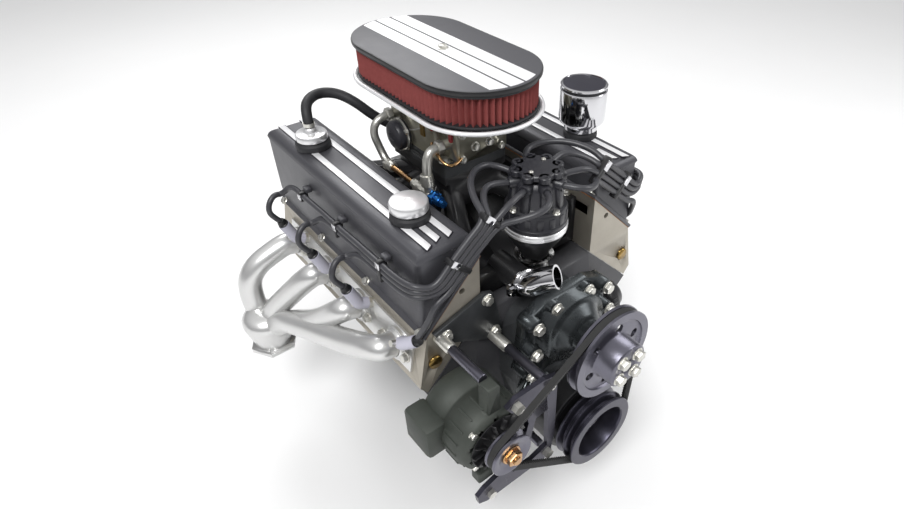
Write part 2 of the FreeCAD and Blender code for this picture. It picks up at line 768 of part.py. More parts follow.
def make_valve_covers():
    """Tall cast covers: flat level tops with raised stripes, hollow, with a rail flange."""
    for side in (1, -1):
        inboard_x, inboard_z = bank_point(1, rail_height, -rail_inboard)
        outboard_x, outboard_z = bank_point(1, rail_height, rail_outboard * -1)
        start = behind(COVER_START)
        outline = [
            (inboard_x, inboard_z),
            (inboard_x + 5, cover_top - 22),
            (inboard_x + 12, cover_top),
            (208, cover_top),
            (217, cover_top - 20),
            (outboard_x + 2, outboard_z + 34),
            (outboard_x, outboard_z),
        ]
        inner = [
            (inboard_x + 5, inboard_z - 6),
            (inboard_x + 10, cover_top - 22 - cover_wall),
            (inboard_x + 15, cover_top - cover_wall),
            (204, cover_top - cover_wall),
            (211, cover_top - 24),
            (outboard_x - 4, outboard_z + 34),
            (outboard_x - 5, outboard_z + 4),
        ]
        signed = [[(side * as_size(x), z) for x, z in points] for points in (outline, inner)]
        block = padded(signed[0], cover_length, at=(0, start, 0), name="CoverBody")
        rounded = finish_edges(block, 6, lambda edge: all(v.Point.z > 377 for v in edge.Vertexes), name="CoverRounds")
        flange = padded([
            bank_point(side, rail_height, -rail_inboard - 5),
            bank_point(side, rail_height + 6, -rail_inboard - 5),
            bank_point(side, rail_height + 6, -rail_outboard + 4),
            bank_point(side, rail_height, -rail_outboard + 4),
        ], cover_length + 8, at=(0, start - 4, 0), name="CoverFlange")
        stripes = []
        for x in (152.5, 172, 191.5):
            length = cover_length - 14 if x != 172 else as_size(72)
            at = (side * x - 5.5, start + 7, cover_top - 2)
            stripes.append(box(11, length, 2 + STRIPE_RISE, at, name="Stripe"))
        hollow = padded(signed[1], cover_length - cover_wall * 2, at=(0, start + cover_wall, 0), name="CoverHollow")
        tools = [hollow]
        if side == -1:
            tools += [cylinder(15, 20, (-172, behind(85), cover_top - 12), name="FillerHole"),
                      cylinder(15, 20, (-181, behind(360), cover_top - 12), name="PcvHole")]
        else:
            tools.append(cylinder(15, 20, (188, behind(111), cover_top - 12), name="BreatherHole"))
        cover = cut(fuse([rounded, flange] + stripes, "CoverOutside"), tools, "ValveCover")
        node(cover, "valve_cover_" + side_names[side])


def make_cover_gaskets():
    """Cork gaskets between the rails and the covers."""
    rings = []
    for side in (1, -1):
        def ring(v_in, v_out, low, high, margin, name):
            return padded([
                bank_point(side, low, -rail_inboard - v_in),
                bank_point(side, high, -rail_inboard - v_in),
                bank_point(side, high, -rail_outboard + v_out),
                bank_point(side, low, -rail_outboard + v_out),
            ], cover_length + margin, at=(0, behind(COVER_START) - margin / 2, 0), name=name)
        sheet_body = ring(4, 3, rail_height - 1, rail_height, as_size(6), "CorkSheet")
        window = ring(-12, -12, rail_height - 3, rail_height + 2, as_size(-24), "CorkWindow")
        rings.append(cut(sheet_body, [window], "Cork"))
    return node(group(rings, "CoverGaskets"), "valve_cover_gaskets")


# ---------------------------------------------------------------- intake, carburettor, air cleaner
OUTLET_X = -47
OUTLET_Z = 259
OUTLET_AHEAD = 14


def make_intake():
    """Four-barrel intake: end rails, eight runners, plenum and carburettor pad."""
    start, length = behind(42), block_length - 62
    valley = [(-104, 229), (104, 229), (104, 242), (-104, 242)]
    parts = [padded(valley, length, at=(0, start, 0), name="ValleyFloor")]
    for side in (1, -1):
        rail = [(side * 100, 229), (side * 118.0, 229), (side * 117.1, 316), (side * 100, 316)]
        parts.append(padded(rail, length, at=(0, start, 0), name="PortRail"))
        for index in range(4):
            root = behind(air_centre) + (index - 1.5) * 34
            rise = (cylinder_y(side, index) - root).value
            direction = FreeCAD.Vector(side * 60, rise, -40)
            parts.append(cylinder(18, direction.Length, (side * 36, root, 320), tuple(direction), "Runner"))
    parts.append(centred_box(104, 150, 54, (0, behind(air_centre), 300), name="Plenum"))
    parts.append(centred_box(122, 150, 12, (0, behind(air_centre), carb_base - 12), name="CarbPad"))
    x, z = OUTLET_X, OUTLET_Z
    parts.append(cylinder(21, 62, (x, behind(48), z), "-Y", "ThermostatBoss"))
    parts.append(box(60, 24, 34, (x - 58, behind(24), 229), name="WaterArm"))
    parts.append(box(24, 20, 28, (x - 10, behind(36), 229), name="ArmFoot"))
    holes = [cylinder(19, 60, (px, behind(air_centre) + y, 310), "Z", "PlenumBore") for px in (-24, 24) for y in (-28, 28)]
    holes.append(cylinder(15.5, 50, (x, behind(36), z), "-Y", "WaterPassage"))
    return node(cut(fuse(parts, "IntakeParts"), holes, "Intake"), "intake_manifold")


def throttle_places():
    return [(x, behind(air_centre) + y) for y in (-28, 28) for x in (-24, 24)]


THROTTLE_HEIGHT = 14
CARB_TOP = 92
STUD_RADIUS = 3.2
STUD_SEAT = 62


def make_carburettor():
    """Four-barrel carburettor: base, main body, two bowls, air horn, choke housing, throttles."""
    y = behind(air_centre)
    body_parts = [
        centred_box(122, 150, 26, (0, y, carb_base + 0.2), name="ThrottleBody"),
        centred_box(104, 104, CARB_TOP - 30, (0, y, carb_base + 26), name="MainBody"),
        cylinder(63, 8, (0, y, carb_base + CARB_TOP - 8), "Z", "AirHorn"),
    ]
    holes = []
    for x, place_y in throttle_places():
        holes.append(cylinder(throttle_bore, CARB_TOP - 30, (x, place_y, carb_base - 1), "Z", "Barrel"))
    holes.append(centred_box(98, 44, 40, (0, y - 28, carb_base + CARB_TOP - 32), name="ChokeSlot"))
    holes.append(centred_box(98, 44, 40, (0, y + 28, carb_base + CARB_TOP - 32), name="SecondarySlot"))
    for shaft_y in (-28, 28):
        at = (-70, y + shaft_y, carb_base + THROTTLE_HEIGHT)
        holes.append(cylinder(as_size(4) + running_fit, 140, at, "X", "ShaftHole"))
    holes.append(cylinder(as_size(3) + running_fit, 140, (-70, y - 28, carb_base + CARB_TOP - 12), "X", "ChokeHole"))
    holes.append(cylinder(STUD_RADIUS + running_fit, 40, (0, y, carb_base + STUD_SEAT), "Z", "StudHole"))
    body = cut(fuse(body_parts, "CarbParts"), holes, "CarbBody")
    node(body, "carburetor_body")
    bowls = []
    for sign in (-1, 1):
        near = 52.2 if sign == 1 else -52.2 - 40
        bowl = centred_box(98, 40, 55.8, (0, y + near + 20, carb_base + 28), name="Bowl")
        rounded = finish_edges(bowl, 8, lambda e: abs(e.tangentAt(e.FirstParameter).y) > 0.9, name="BowlRounds")
        nut_y = near + (40 if sign == 1 else 0)
        inlet = cylinder(8, 16, (-48, y + near + 20, carb_base + 58), "-X", "BowlInlet")
        sight = cylinder(6, 6, (26, y + nut_y, carb_base + 46), "Y" if sign == 1 else "-Y", "SightPlug")
        bowls.append(fuse([rounded, inlet, sight], "FuelBowl"))
    node(group(bowls, "FuelBowls"), "fuel_bowls")
    choke = [
        (0, 0), (20, 0), (24, 4), (24, 14), (21, 22), (0, 22),
    ]
    housing = turned(choke, (-63.2, y + 32, carb_base + 40), "-X", "ChokeHousing")
    foot = centred_box(12, 30, 34, (-58.2, y + 32, carb_base + 26.4), name="ChokeFoot")
    node(fuse([housing, foot], "Choke"), "choke_housing")
    for label, shift in (("primary_throttle", -28), ("secondary_throttle", 28)):
        at = (-63, y + shift, carb_base + THROTTLE_HEIGHT)
        parts = [cylinder(4, 137, at, "X", "ThrottleShaft")]
        for x in (-24, 24):
            disc = (x, y + shift, carb_base + THROTTLE_HEIGHT - 0.8)
            parts.append(cylinder(throttle_bore - 0.4, 1.6, disc, "Z", "ThrottlePlate"))
        lever_z = carb_base + THROTTLE_HEIGHT
        parts.append(box(3, 12, 34, (68, y + shift - 6, lever_z - 24), name="ThrottleLever"))
        parts.append(cylinder(4, 10, (68, y + shift, lever_z - 20), "X", "LeverPin"))
        node(fuse(parts, "Throttle"), label)
    plate_z = carb_base + CARB_TOP - 12
    choke_parts = [
        cylinder(3, 136, (-68, y - 28, plate_z), "X", "ChokeShaft"),
        centred_box(96, 38, 1.6, (0, y - 28, plate_z - 0.8), name="ChokePlate"),
        box(3, 10, 26, (-67, y - 33, plate_z - 21), name="ChokeLever"),
    ]
    node(fuse(choke_parts, "ChokeValve"), "choke_plate")


def stadium(length, width, height, at, name="Stadium"):
    """A slab with round ends, its long axis along Y, from the middle of its lower face."""
    x, y, z = at
    reach = (as_size(length) - width) / 2
    parts = [centred_box(width, reach * 2, height, (x, y, z), name="StadiumMiddle")]
    for sign in (-1, 1):
        parts.append(cylinder(as_size(width) / 2, height, (x, as_size(y) + reach * sign, z), "Z", "StadiumEnd"))
    return fuse(parts, name)


def make_air_cleaner():
    """Oval air cleaner: pan on the air horn, pleated element, ribbed lid, stud and nut."""
    y = behind(air_centre)
    element_base = lid_height - lid_thickness - element_height
    horn_top = carb_base + CARB_TOP
    rim = stadium(lid_length + 12, lid_width + 12, 9, (0, y, element_base - 8.2), "PanRim")
    drop = stadium(lid_length - 60, lid_width - 40, element_base - horn_top, (0, y, horn_top + 0.2), "PanDrop")
    dish = stadium(lid_length + 4, lid_width + 4, 9, (0, y, element_base - 4.2), "PanDish")
    well_depth = element_base - horn_top + 38
    well = stadium(lid_length - 66, lid_width - 46, well_depth, (0, y, horn_top + 3.2), "PanWell")
    mouth = cylinder(60, 30, (0, y, horn_top - 5), "Z", "PanMouth")
    node(cut(fuse([rim, drop], "PanOutside"), [dish, well, mouth], "PanPressing"), "air_cleaner_base")
    outer = stadium(lid_length - 8, lid_width - 8, element_height, (0, y, element_base), "ElementOutside")
    inner = stadium(lid_length - 68, lid_width - 68, element_height + 2, (0, y, element_base - 1), "ElementInside")
    node(cut(outer, [inner], "Element"), "air_filter_element")
    top = stadium(lid_length, lid_width, lid_thickness - 0.2, (0, y, lid_height - lid_thickness + 0.2), "LidPlate")
    lid_hole = cylinder(3.6, 30, (0, y, lid_height - 20), "Z", "LidHole")
    rounded = finish_edges(top, 3, lambda e: all(v.Point.z > 533.9 for v in e.Vertexes), name="LidRounds")
    node(cut(rounded, [lid_hole], "Lid"), "air_cleaner_lid")
    stud = cylinder(STUD_RADIUS, lid_height + 1 - carb_base - STUD_SEAT, (0, y, carb_base + STUD_SEAT), "Z", "Stud")
    nut = hexagon(12, 5, (0, y, lid_height + 0.1), name="LidNut")
    node(fuse([stud, nut], "StudAndNut"), "air_cleaner_stud")


def make_fuel_line():
    """Fuel log: rear elbow, tube forward to a tee, branch to the front bowl, inlet union."""
    y = behind(air_centre)
    z = carb_base - 12
    line_x = -92
    inlet_z = carb_base.value + 58
    rear_inlet = [
        (-64.2, (y + 72.2).value, inlet_z),
        (-82, (y + 72.2).value, inlet_z),
        (-98, (y + 76).value, inlet_z - 24),
        (line_x, (y + 66).value, inlet_z - 52),
        (line_x, (y + 36).value, z.value - 2),
    ]
    tee_y = behind(158)
    parts = [shaped(tube(rear_inlet, 6, name="RearElbow"), "RearElbow")]
    end = rear_inlet[-1]
    parts.append(cylinder(4.8, y + 36 - tee_y, (line_x, tee_y, z - 2), "Y", "FuelTube"))
    parts.append(cylinder(8, 26, (line_x, tee_y + 22, z - 2), "Y", "TubeNut"))
    parts.append(cylinder(8, 18, (line_x, y + 30, z - 2), "Y", "RearNut"))
    parts.append(cylinder(9, 26, (line_x, tee_y - 12, z - 2), "Y", "Tee"))
    parts.append(hexagon(19, 16, (line_x, tee_y - 27, z - 2), "Y", "InletUnion"))
    front_y = (y - 72.2).value
    branch = [
        (line_x, tee_y.value, z.value - 2),
        (line_x - 2, tee_y.value + 0.5, z.value + 26),
        (-90, front_y - 2, inlet_z - 10),
        (-80, front_y, inlet_z),
        (-64.2, front_y, inlet_z),
    ]
    parts.append(shaped(tube(branch, 7.5, name="FrontBranch"), "FrontBranch"))
    return node(fuse(parts, "FuelLog"), "fuel_line")


def make_thermostat_housing():
    """Water outlet: a flanged elbow with an open hose neck."""
    x, z = OUTLET_X, OUTLET_Z
    y = ahead(OUTLET_AHEAD + 0.2).value
    flange = cylinder(24, 7, (x, y, z), "-Y", "OutletFlange")
    ears = box(66, 7, 18, (x - 33, y - 7, z - 9), name="OutletEars")
    path = [(x, y - 6, z), (x + 1, y - 20, z + 6), (x + 11, y - 33, z + 19), (x + 23, y - 50, z + 28)]
    elbow = shaped(tube(path, 19, name="Elbow"), "Elbow")
    behind_seat = box(60, 20, 60, (x - 30, y, z - 30), name="BehindSeat")
    inside = [(x, y + 1, z), (x + 1, y - 20, z + 6), (x + 11, y - 33, z + 19), (x + 24, y - 51.5, z + 28.8)]
    bore = shaped(tube(inside, 15.5, name="ElbowBore"), "ElbowBore")
    bolts = [hexagon(12, 6, (bolt_x, y - 7.1, z), "-Y", "OutletBolt") for bolt_x in (x - 28, x + 28)]
    outlet = cut(fuse([flange, ears, elbow], "Outlet"), [bore, behind_seat], "OutletHollow")
    return node(fuse([outlet] + bolts, "Thermostat"), "thermostat_housing")


# ---------------------------------------------------------------- ignition
def make_distributor():
    """Distributor: housing with clamp ring, turning shaft with rotor, eight-tower cap."""
    y = behind(distributor_back)
    profile = [
        (6.35, 170), (shank_radius, 170), (shank_radius, DISTRIBUTOR_SEAT), (24, DISTRIBUTOR_SEAT), (24, 252),
        (20, 258), (20, 270), (34, 276),
        (50, 288), (53, 300), (53, 311), (57, 311), (57, 317), (47, 317), (47, 296), (30, 284), (6.35, 280),
    ]
    node(turned(profile, (0, y, 0), "Z", "DistributorHousing"), "distributor_housing")
    gear_start = cam_height + cam_radius + 1.5
    shaft = [(0, gear_start), (12, gear_start), (12, 169), (6.3, 169), (6.3, 286), (17, 286), (17, 304),
             (6.3, 304), (6.3, 330), (0, 330)]
    spindle = turned(shaft, (0, y, 0), "Z", "Spindle")
    arm = box(38, 14, 12, (-6, y - 7, 322), name="RotorArm")
    disc = cylinder(20, 12, (0, y, 320), "Z", "RotorDisc")
    node(fuse([spindle, arm, disc], "Rotor"), "distributor_shaft")
    cap_top = distributor_cap_top - 30
    shell = [
        (0, cap_top - 6), (40, cap_top - 6), (49, 350), (49, 317.2), (57, 317.2), (57, 334), (55, 352),
        (50, cap_top - 12), (44, cap_top), (0, cap_top),
    ]
    parts = [turned(shell, (0, y, 0), "Z", "CapShell")]
    for index in range(8):
        turn = math.radians(45 * index + 22.5)
        x, dy = 37 * math.cos(turn), 37 * math.sin(turn)
        parts.append(cone(10.5, 8.5, 27, (x, y + dy, cap_top - 3), name="Tower"))
    parts.append(cylinder(31, 22, (0, y, cap_top - 3), "Z", "CapCrown"))
    parts.append(cone(6, 4, 30, (0, y, cap_top - 34), name="CapContact"))
    node(fuse(parts, "Cap"), "distributor_cap")


def world(points):
    """A route given as (x, distance behind the block's front face, z)."""
    return [(x, front.value + d, z) for x, d, z in points]


def make_ignition():
    """Plugs, long boots, eight wires strapped round the covers, and their separators."""
    plugs, boots = [], []
    for side in (1, -1):
        for index in range(4):
            y = cylinder_y(-1, index) + port_shift(side)
            axis = plug_axis(side)
            thread = cylinder(6.9, 22, plug_seat(side, y, 20), axis, "PlugThread")
            shell = hexagon(16, 12, plug_seat(side, y, -2), axis, "PlugHex")
            insulator = cylinder(5, 24, plug_seat(side, y, -14), axis, "PlugInsulator")
            plugs.append(fuse([thread, shell, insulator], "Plug"))
            sleeve = cylinder(9.5, 56, plug_seat(side, y, -16), axis, "BootSleeve")
            bore = cylinder(5.05, 23, plug_seat(side, y, -15.5), axis, "BootBore")
            boots.append(cut(sleeve, [bore], "Boot"))
    node(group(plugs, "Plugs"), "spark_plugs")
    node(group(boots, "Boots"), "spark_plug_boots")
    for side in (1, -1):
        wires = []
        for index in range(4):
            wires.append(shaped(tube(wire_route(side, index), wire_radius.value, name="Wire"), "Wire"))
        node(group(wires, "Wires"), "ignition_wires_" + side_names[side])
    looms = []
    for side in (1, -1):
        for d, count in ((73, 3), (200, 2), (318, 1)):
            height = count * WIRE_PITCH + 7
            middle = wall_run_z(3, d) - (count - 1) * WIRE_PITCH / 2
            looms.append(box(15, 9, height, (side * WALL_X - 7.5, behind(d - 4.5), middle - height / 2), name="Loom"))
        for x, d, z in ((115, -14, 406), (172, -11, 357)):
            x -= FAN[0] * 1.5 * WIRE_PITCH
            z -= FAN[1] * 1.5 * WIRE_PITCH
            turn = FreeCAD.Rotation(FreeCAD.Vector(0, 1, 0), -45 * side)
            corner = turn.multVec(FreeCAD.Vector(-24, -6.5, -4.5))
            at = (side * x + corner.x, behind(d) + corner.y, z + corner.z)
            looms.append(box(48, 13, 9, at, turn, name="FrontLoom"))
    node(group(looms, "Looms"), "wire_looms")


WIRE_PITCH = wire_radius.value * 2 + 1.4
FAN = (0.70, 0.71)
WALL_X = 232
BOOT_END = 72


def wall_run_z(index, d):
    """Height of a wire on the cover's outer wall; the ribbon falls a little to the rear."""
    return 308.2 + (index - 1) * WIRE_PITCH - 0.04 * (d - 200)


def cap_exit(index):
    """The first stretch of a wire: up from its tower and over towards the cover's end."""
    lifts = {
        0: [(15, -21, 441), (24, -25, 455), (48, -24, 447), (74, -18, 418)],
        1: [(36, -1, 442), (46, -5, 456), (66, -10, 448), (87, -13, 420)],
        2: [(36, 28, 444), (46, 24, 459), (68, 12, 456), (94, -3, 429)],
        3: [(16, 46, 442), (28, 41, 456), (54, 30, 460), (84, 10, 445), (104, -6, 425)],
    }
    return lifts[index]


def wire_route(side, index):
    """One wire from its tower, across the front of the cover and back to its boot."""
    dx, _, dz = plug_axis(1)
    shift = port_shift(side).value
    boot_d = first_bore.value + bore_spacing.value * index + shift - PLUG_AHEAD
    end = (221 + dx * BOOT_END, boot_d, 203 + dz * BOOT_END)
    turn = math.radians(-67.5 + 45 * index)
    fan_x, fan_z = FAN[0] * WIRE_PITCH * (3 - index), FAN[1] * WIRE_PITCH * (3 - index)
    start = (37 * math.cos(turn), distributor_back.value + 37 * math.sin(turn), distributor_cap_top.value - 5.8)
    route = [start] + cap_exit(index)
    route += [(115 - fan_x, -14, 406 - fan_z), (144 - fan_x, -12, 381.5 - fan_z), (172 - fan_x, -11, 357 - fan_z),
              (203 - fan_x, -12, 329 - fan_z)]
    if index == 0:
        route += [(210, -13, 290), (238, -8, 284), (264, 8 + shift / 2, 288), (288, boot_d + 2, 294)]
    else:
        route.append((226.5, -3, wall_run_z(index, 0) + 2))
        last = boot_d - 6
        steps = max(1, round((last - 24) / 58))
        for k in range(steps + 1):
            d = 24 + (last - 24) * k / steps
            route.append((WALL_X + 1.2 * (k % 2), d, wall_run_z(index, d) + 0.8 * (k % 2)))
        route += [(246, boot_d + 24, 306), (274, boot_d + 44, 306)]
    route += [(306, boot_d + 40, 288), (321, boot_d + 17, 265), (end[0] + dx * 23, boot_d, end[2] + dz * 23), end]
    return world([(side * x, d, z) for x, d, z in route])


# ---------------------------------------------------------------- belt drive
RIM_HALF = 10.7
GROOVE_HALF = 6.2
GROOVE_ROOT = 3.0


def sheave(radius, grooves, hub_points):
    """A V-belt pulley outline (radius, distance ahead); grooves are rearward of the first."""
    last = grooves - 1
    points = []
    for index in range(grooves):
        middle = belt_plane - 17 * index
        points += [
            (radius, middle + GROOVE_HALF),
            (radius - groove_depth, middle + GROOVE_ROOT),
            (radius - groove_depth, middle - GROOVE_ROOT),
            (radius, middle - GROOVE_HALF),
        ]
    rear = belt_plane - 17 * last - RIM_HALF
    return [(radius, belt_plane + RIM_HALF)] + points + [(radius, rear)] + hub_points


def bolt_ring(count, ring_radius, size, length, y, z, start=0.0):
    """Hexagon bolt heads on a circle round a +Y axis, their faces ahead of y."""
    bolts = []
    for index in range(count):
        turn = math.radians(start + 360.0 * index / count)
        at = (ring_radius * math.cos(turn), y, z + ring_radius * math.sin(turn))
        bolts.append(hexagon(size, length, at, "-Y", "PulleyBolt"))
    return bolts


def make_water_pump():
    """Water pump: volute casting with ears and snout, shaft with impeller and flange, pulley."""
    front_of_cover = COVER_DEPTH + 0.2
    outline = [(-94, 122), (-58, 96), (58, 96), (94, 122), (90, 176), (84, 232), (44, 249),
               (-44, 249), (-84, 232), (-90, 176)]
    plate = padded(outline, 18, at=(0, ahead(front_of_cover + 18), 0), name="PumpPlate")
    parts = [plate]
    parts.append(cylinder(62, 42, (0, ahead(front_of_cover), pump_height - 6), "-Y", "Volute"))
    parts.append(cone(52, 30, 24, (0, ahead(front_of_cover + 41), pump_height), "-Y", "VoluteCone"))
    parts.append(cylinder(28, 25, (0, ahead(front_of_cover + 62), pump_height), "-Y", "Snout"))
    for x, z, radius, length in ((-84, 128, 13, 30), (84, 128, 13, 30), (-80, 176, 11, 34), (80, 178, 11, 34),
                                 (-74, 224, 13, 30), (74, 224, 13, 30), (-34, 238, 10, 26), (34, 238, 10, 26)):
        parts.append(cylinder(radius, length, (x, ahead(front_of_cover), z), "-Y", "PumpBoss"))
        parts.append(hexagon(13, 7, (x, ahead(front_of_cover + length - 0.1), z), "-Y", "PumpBolt"))
    parts.append(cylinder(21, 46, (-58, ahead(front_of_cover + 22), 112), (-0.8, -0.35, -0.5), "InletNeck"))
    holes = [
        cylinder(17, 60, (-60, ahead(front_of_cover + 22.9), 110.75), (-0.8, -0.35, -0.5), "InletBore"),
        cylinder(46, 18, (0, ahead(front_of_cover + 12), pump_height), "-Y", "ImpellerRoom"),
        cylinder(as_size(8) + running_fit, 140, (0, ahead(front_of_cover + 10), pump_height), "-Y", "PumpBearing"),
    ]
    node(cut(fuse(parts, "PumpParts"), holes, "PumpHousing"), "water_pump_housing")
    impeller_y = front_of_cover + 14
    flange_y = belt_plane - 24
    shaft = [cylinder(8, flange_y - impeller_y + 2, (0, ahead(impeller_y), pump_height), "-Y", "PumpShaft")]
    shaft.append(cylinder(30, 4, (0, ahead(impeller_y), pump_height), "-Y", "ImpellerDisc"))
    for index in range(6):
        blade = box(20, 9, 3, (20, ahead(impeller_y + 12), -1.5), name="ImpellerBlade")
        turn = FreeCAD.Rotation(FreeCAD.Vector(0, 1, 0), 60 * index)
        corner = turn.multVec(FreeCAD.Vector(20, 0, -1.5))
        place(blade, (corner.x, ahead(impeller_y + 12), corner.z + pump_height), turn)
        shaft.append(blade)
    shaft.append(cylinder(34, 6, (0, ahead(flange_y), pump_height), "-Y", "PumpFlange"))
    node(fuse(shaft, "PumpShaftParts"), "water_pump_shaft")
    hub_front = belt_plane + RIM_HALF + 28
    hub = [
        (pump_pulley_radius - 18, belt_plane - RIM_HALF),
        (pump_pulley_radius - 18, belt_plane + 2),
        (37, belt_plane + 2),
        (37, belt_plane - 17),
        (10, belt_plane - 17),
        (10, hub_front - 4),
        (14, hub_front),
        (35, hub_front),
        (37, hub_front - 2),
        (37, belt_plane + 8),
        (pump_pulley_radius - 15, belt_plane + 6),
        (pump_pulley_radius - 13, belt_plane + RIM_HALF),
    ]
    outline = sheave(pump_pulley_radius, 1, hub)
    pulley = turned(outline, (0, front, pump_height), "-Y", "PumpPulley")
    windows = []
    for index in range(6):
        turn = math.radians(60 * index + 20)
        x, z = 48.5 * math.cos(turn), 48.5 * math.sin(turn)
        windows.append(cylinder(7.5, 20, (x, ahead(belt_plane - 4), pump_height + z), "-Y", "PulleyWindow"))
    bolts = bolt_ring(4, 23, 13, 9, ahead(hub_front - 0.2), pump_height, 40)
    node(fuse([cut(pulley, windows, "PumpSheave")] + bolts, "PumpPulleyBolts"), "water_pump_pulley")


def make_damper_and_pulley():
    """Crank damper with its rubber ring groove, and the deep two-groove pulley bolted to it."""
    rear, face = 62, 118
    outline = [
        (20, 47), (30.6, 47), (30.6, rear + 14), (44, rear + 16), (44, rear), (damper_radius - 9, rear),
        (damper_radius - 9, rear + 2), (damper_radius - 7, rear + 2), (damper_radius - 7, rear), (damper_radius, rear),
        (damper_radius, face - 4), (damper_radius - 3, face), (damper_radius - 7, face), (damper_radius - 7, face - 2),
        (damper_radius - 9, face - 2), (damper_radius - 9, face), (20, face),
    ]
    damper = turned(outline, (0, front, 0), "-Y", "Damper")
    node(damper, "harmonic_damper")
    cup = [
        (crank_pulley_radius - 13, belt_plane - 17 - RIM_HALF),
        (crank_pulley_radius - 19, belt_plane - 17 - RIM_HALF - 8),
        (crank_pulley_radius - 21, face + 0.1),
        (20.1, face + 0.1),
        (20.1, face + 8),
        (crank_pulley_radius - 27, face + 8),
        (crank_pulley_radius - 19.5, belt_plane - 17 - RIM_HALF + 2),
        (crank_pulley_radius - 19.5, belt_plane + RIM_HALF - 3),
        (crank_pulley_radius - 16.5, belt_plane + RIM_HALF),
    ]
    pulley = turned(sheave(crank_pulley_radius, 2, cup), (0, front, 0), "-Y", "CrankPulley")
    node(pulley, "crank_pulley")
    bolts = bolt_ring(4, 31, 14, 8, ahead(face + 8.1), 0, 45)
    washer = cylinder(19, 5, (0, ahead(belt_plane - 29.9), 0), "-Y", "SnoutWasher")
    head = hexagon(24, 13, (0, ahead(belt_plane - 25), 0), "-Y", "SnoutBolt")
    centre_bolt = fuse([washer, head], "CrankBolt")
    node(group([centre_bolt] + bolts, "CrankBolts"), "crankshaft_bolt")


def make_alternator():
    """Alternator: vented two-part housing with regulator box, shaft, and pulley."""
    x, z = -alternator_out, alternator_height
    rear = 20
    face = rear + alternator_length
    outline = [
        (9, rear), (46, rear), (alternator_radius - 4, rear + 8), (alternator_radius, rear + 22),
        (alternator_radius, rear + 50), (alternator_radius - 3, rear + 52), (alternator_radius - 3, rear + 58),
        (alternator_radius, rear + 60), (alternator_radius, face - 18), (alternator_radius - 5, face - 4),
        (alternator_radius - 12, face), (24, face), (24, face - 6), (9, face - 6),
    ]
    shell = turned(outline, (x, front, z), "-Y", "AlternatorShell")
    hollow = [
        (9, rear + 5), (alternator_radius - 10, rear + 9), (alternator_radius - 7, rear + 22),
        (alternator_radius - 7, face - 20), (alternator_radius - 14, face - 6), (12, face - 6), (9, face - 9),
    ]
    cavity = turned(hollow, (x, front, z), "-Y", "AlternatorHollow")
    tools = [cavity]
    for index in range(10):
        turn = math.radians(36 * index + 18)
        vx, vz = 41 * math.cos(turn), 41 * math.sin(turn)
        vent = box(18, 12, 9, (0, 0, 0), name="Vent")
        spin = FreeCAD.Rotation(FreeCAD.Vector(0, 1, 0), -math.degrees(turn))
        corner = spin.multVec(FreeCAD.Vector(-9, 0, -4.5))
        place(vent, (x + vx + corner.x, ahead(face + 2), z + vz + corner.z), spin)
        tools.append(vent)
    parts = [cut(shell, tools, "VentedShell")]
    parts.append(box(30, 62, 62, (x - 86, ahead(rear + 64), z - 28), name="RegulatorBox"))
    parts.append(box(20, 22, 50, (x - 10, ahead(face - 4), z + alternator_radius - 3), name="UpperLug"))
    parts.append(box(26, 20, 24, (x - 34, ahead(face), z - alternator_radius - 22), name="LowerLug"))
    body = cut(fuse(parts, "AlternatorParts"), [
        cylinder(as_size(8.5) + running_fit, 160, (x, ahead(rear - 10), z), "-Y", "AlternatorBearing"),
        turned(hollow, (x, front, z), "-Y", "AlternatorRoom"),
    ], "AlternatorHousing")
    node(body, "alternator_housing")
    shaft_length = belt_plane + RIM_HALF - 4.2 - (rear + 2)
    shaft = [cylinder(8.5, shaft_length, (x, ahead(rear + 2), z), "-Y", "AlternatorShaft")]
    shaft.append(cylinder(alternator_radius - 16, 52, (x, ahead(rear + 28), z), "-Y", "RotorDrum"))
    node(fuse(shaft, "AlternatorRotor"), "alternator_shaft")
    radius = alternator_pulley_radius
    hub = [
        (radius - 13, belt_plane - RIM_HALF), (14, belt_plane - RIM_HALF - 2), (8.6, belt_plane - RIM_HALF - 2),
        (8.6, belt_plane + RIM_HALF - 4), (18, belt_plane + RIM_HALF - 4), (radius - 12, belt_plane + RIM_HALF - 2),
        (radius - 9, belt_plane + RIM_HALF),
    ]
    pulley = turned(sheave(radius, 1, hub), (x, front, z), "-Y", "AlternatorPulley")
    nut = hexagon(22, 11, (x, ahead(belt_plane + RIM_HALF - 4), z), "-Y", "PulleyNut")
    node(fuse([pulley, nut], "PulleyAndNut"), "alternator_pulley")
    plate_rear = face + 1
    plate = [(-88, 186), (-85, 60), (-90, 4), (-102, -8), (-222, -6), (-238, 2), (-240, 20), (-226, 30),
             (-182, 44), (-152, 74), (-142, 118), (-150, 152), (-176, 170), (-184, 184), (-168, 194), (-112, 194)]
    bracket = padded(plate, 8, at=(0, ahead(plate_rear + 8), 0), name="BracketPlate",
                     holes=[[(-104, 120), (-100, 24), (-132, 14), (-172, 20), (-140, 60), (-128, 118)]])
    node(bracket, "alternator_bracket")
    pieces = []
    for px, pz, radius in ((-103, 176, 9.5), (-101, 14, 8.5)):
        pieces.append(cylinder(radius, plate_rear - 0.3, (px, ahead(0.1), pz), "-Y", "PlateStandoff"))
    lug_rear = face - 26
    pieces.append(cylinder(9.5, lug_rear + 0.7, (-197, behind(0.8), 226), "-Y", "OuterStandoff"))
    node(group(pieces, "Standoffs"), "bracket_standoffs")
    bolts = []
    for bx, bz, length, size in ((-103, 176, 6, 14), (-168, 180, 10, 16), (-101, 10, 9, 15), (-216, 10, 7, 13)):
        bolts.append(hexagon(size, length, (bx, ahead(plate_rear + 8.1), bz), "-Y", "BracketBolt"))
    node(group(bolts, "BracketBolts"), "bracket_bolts")


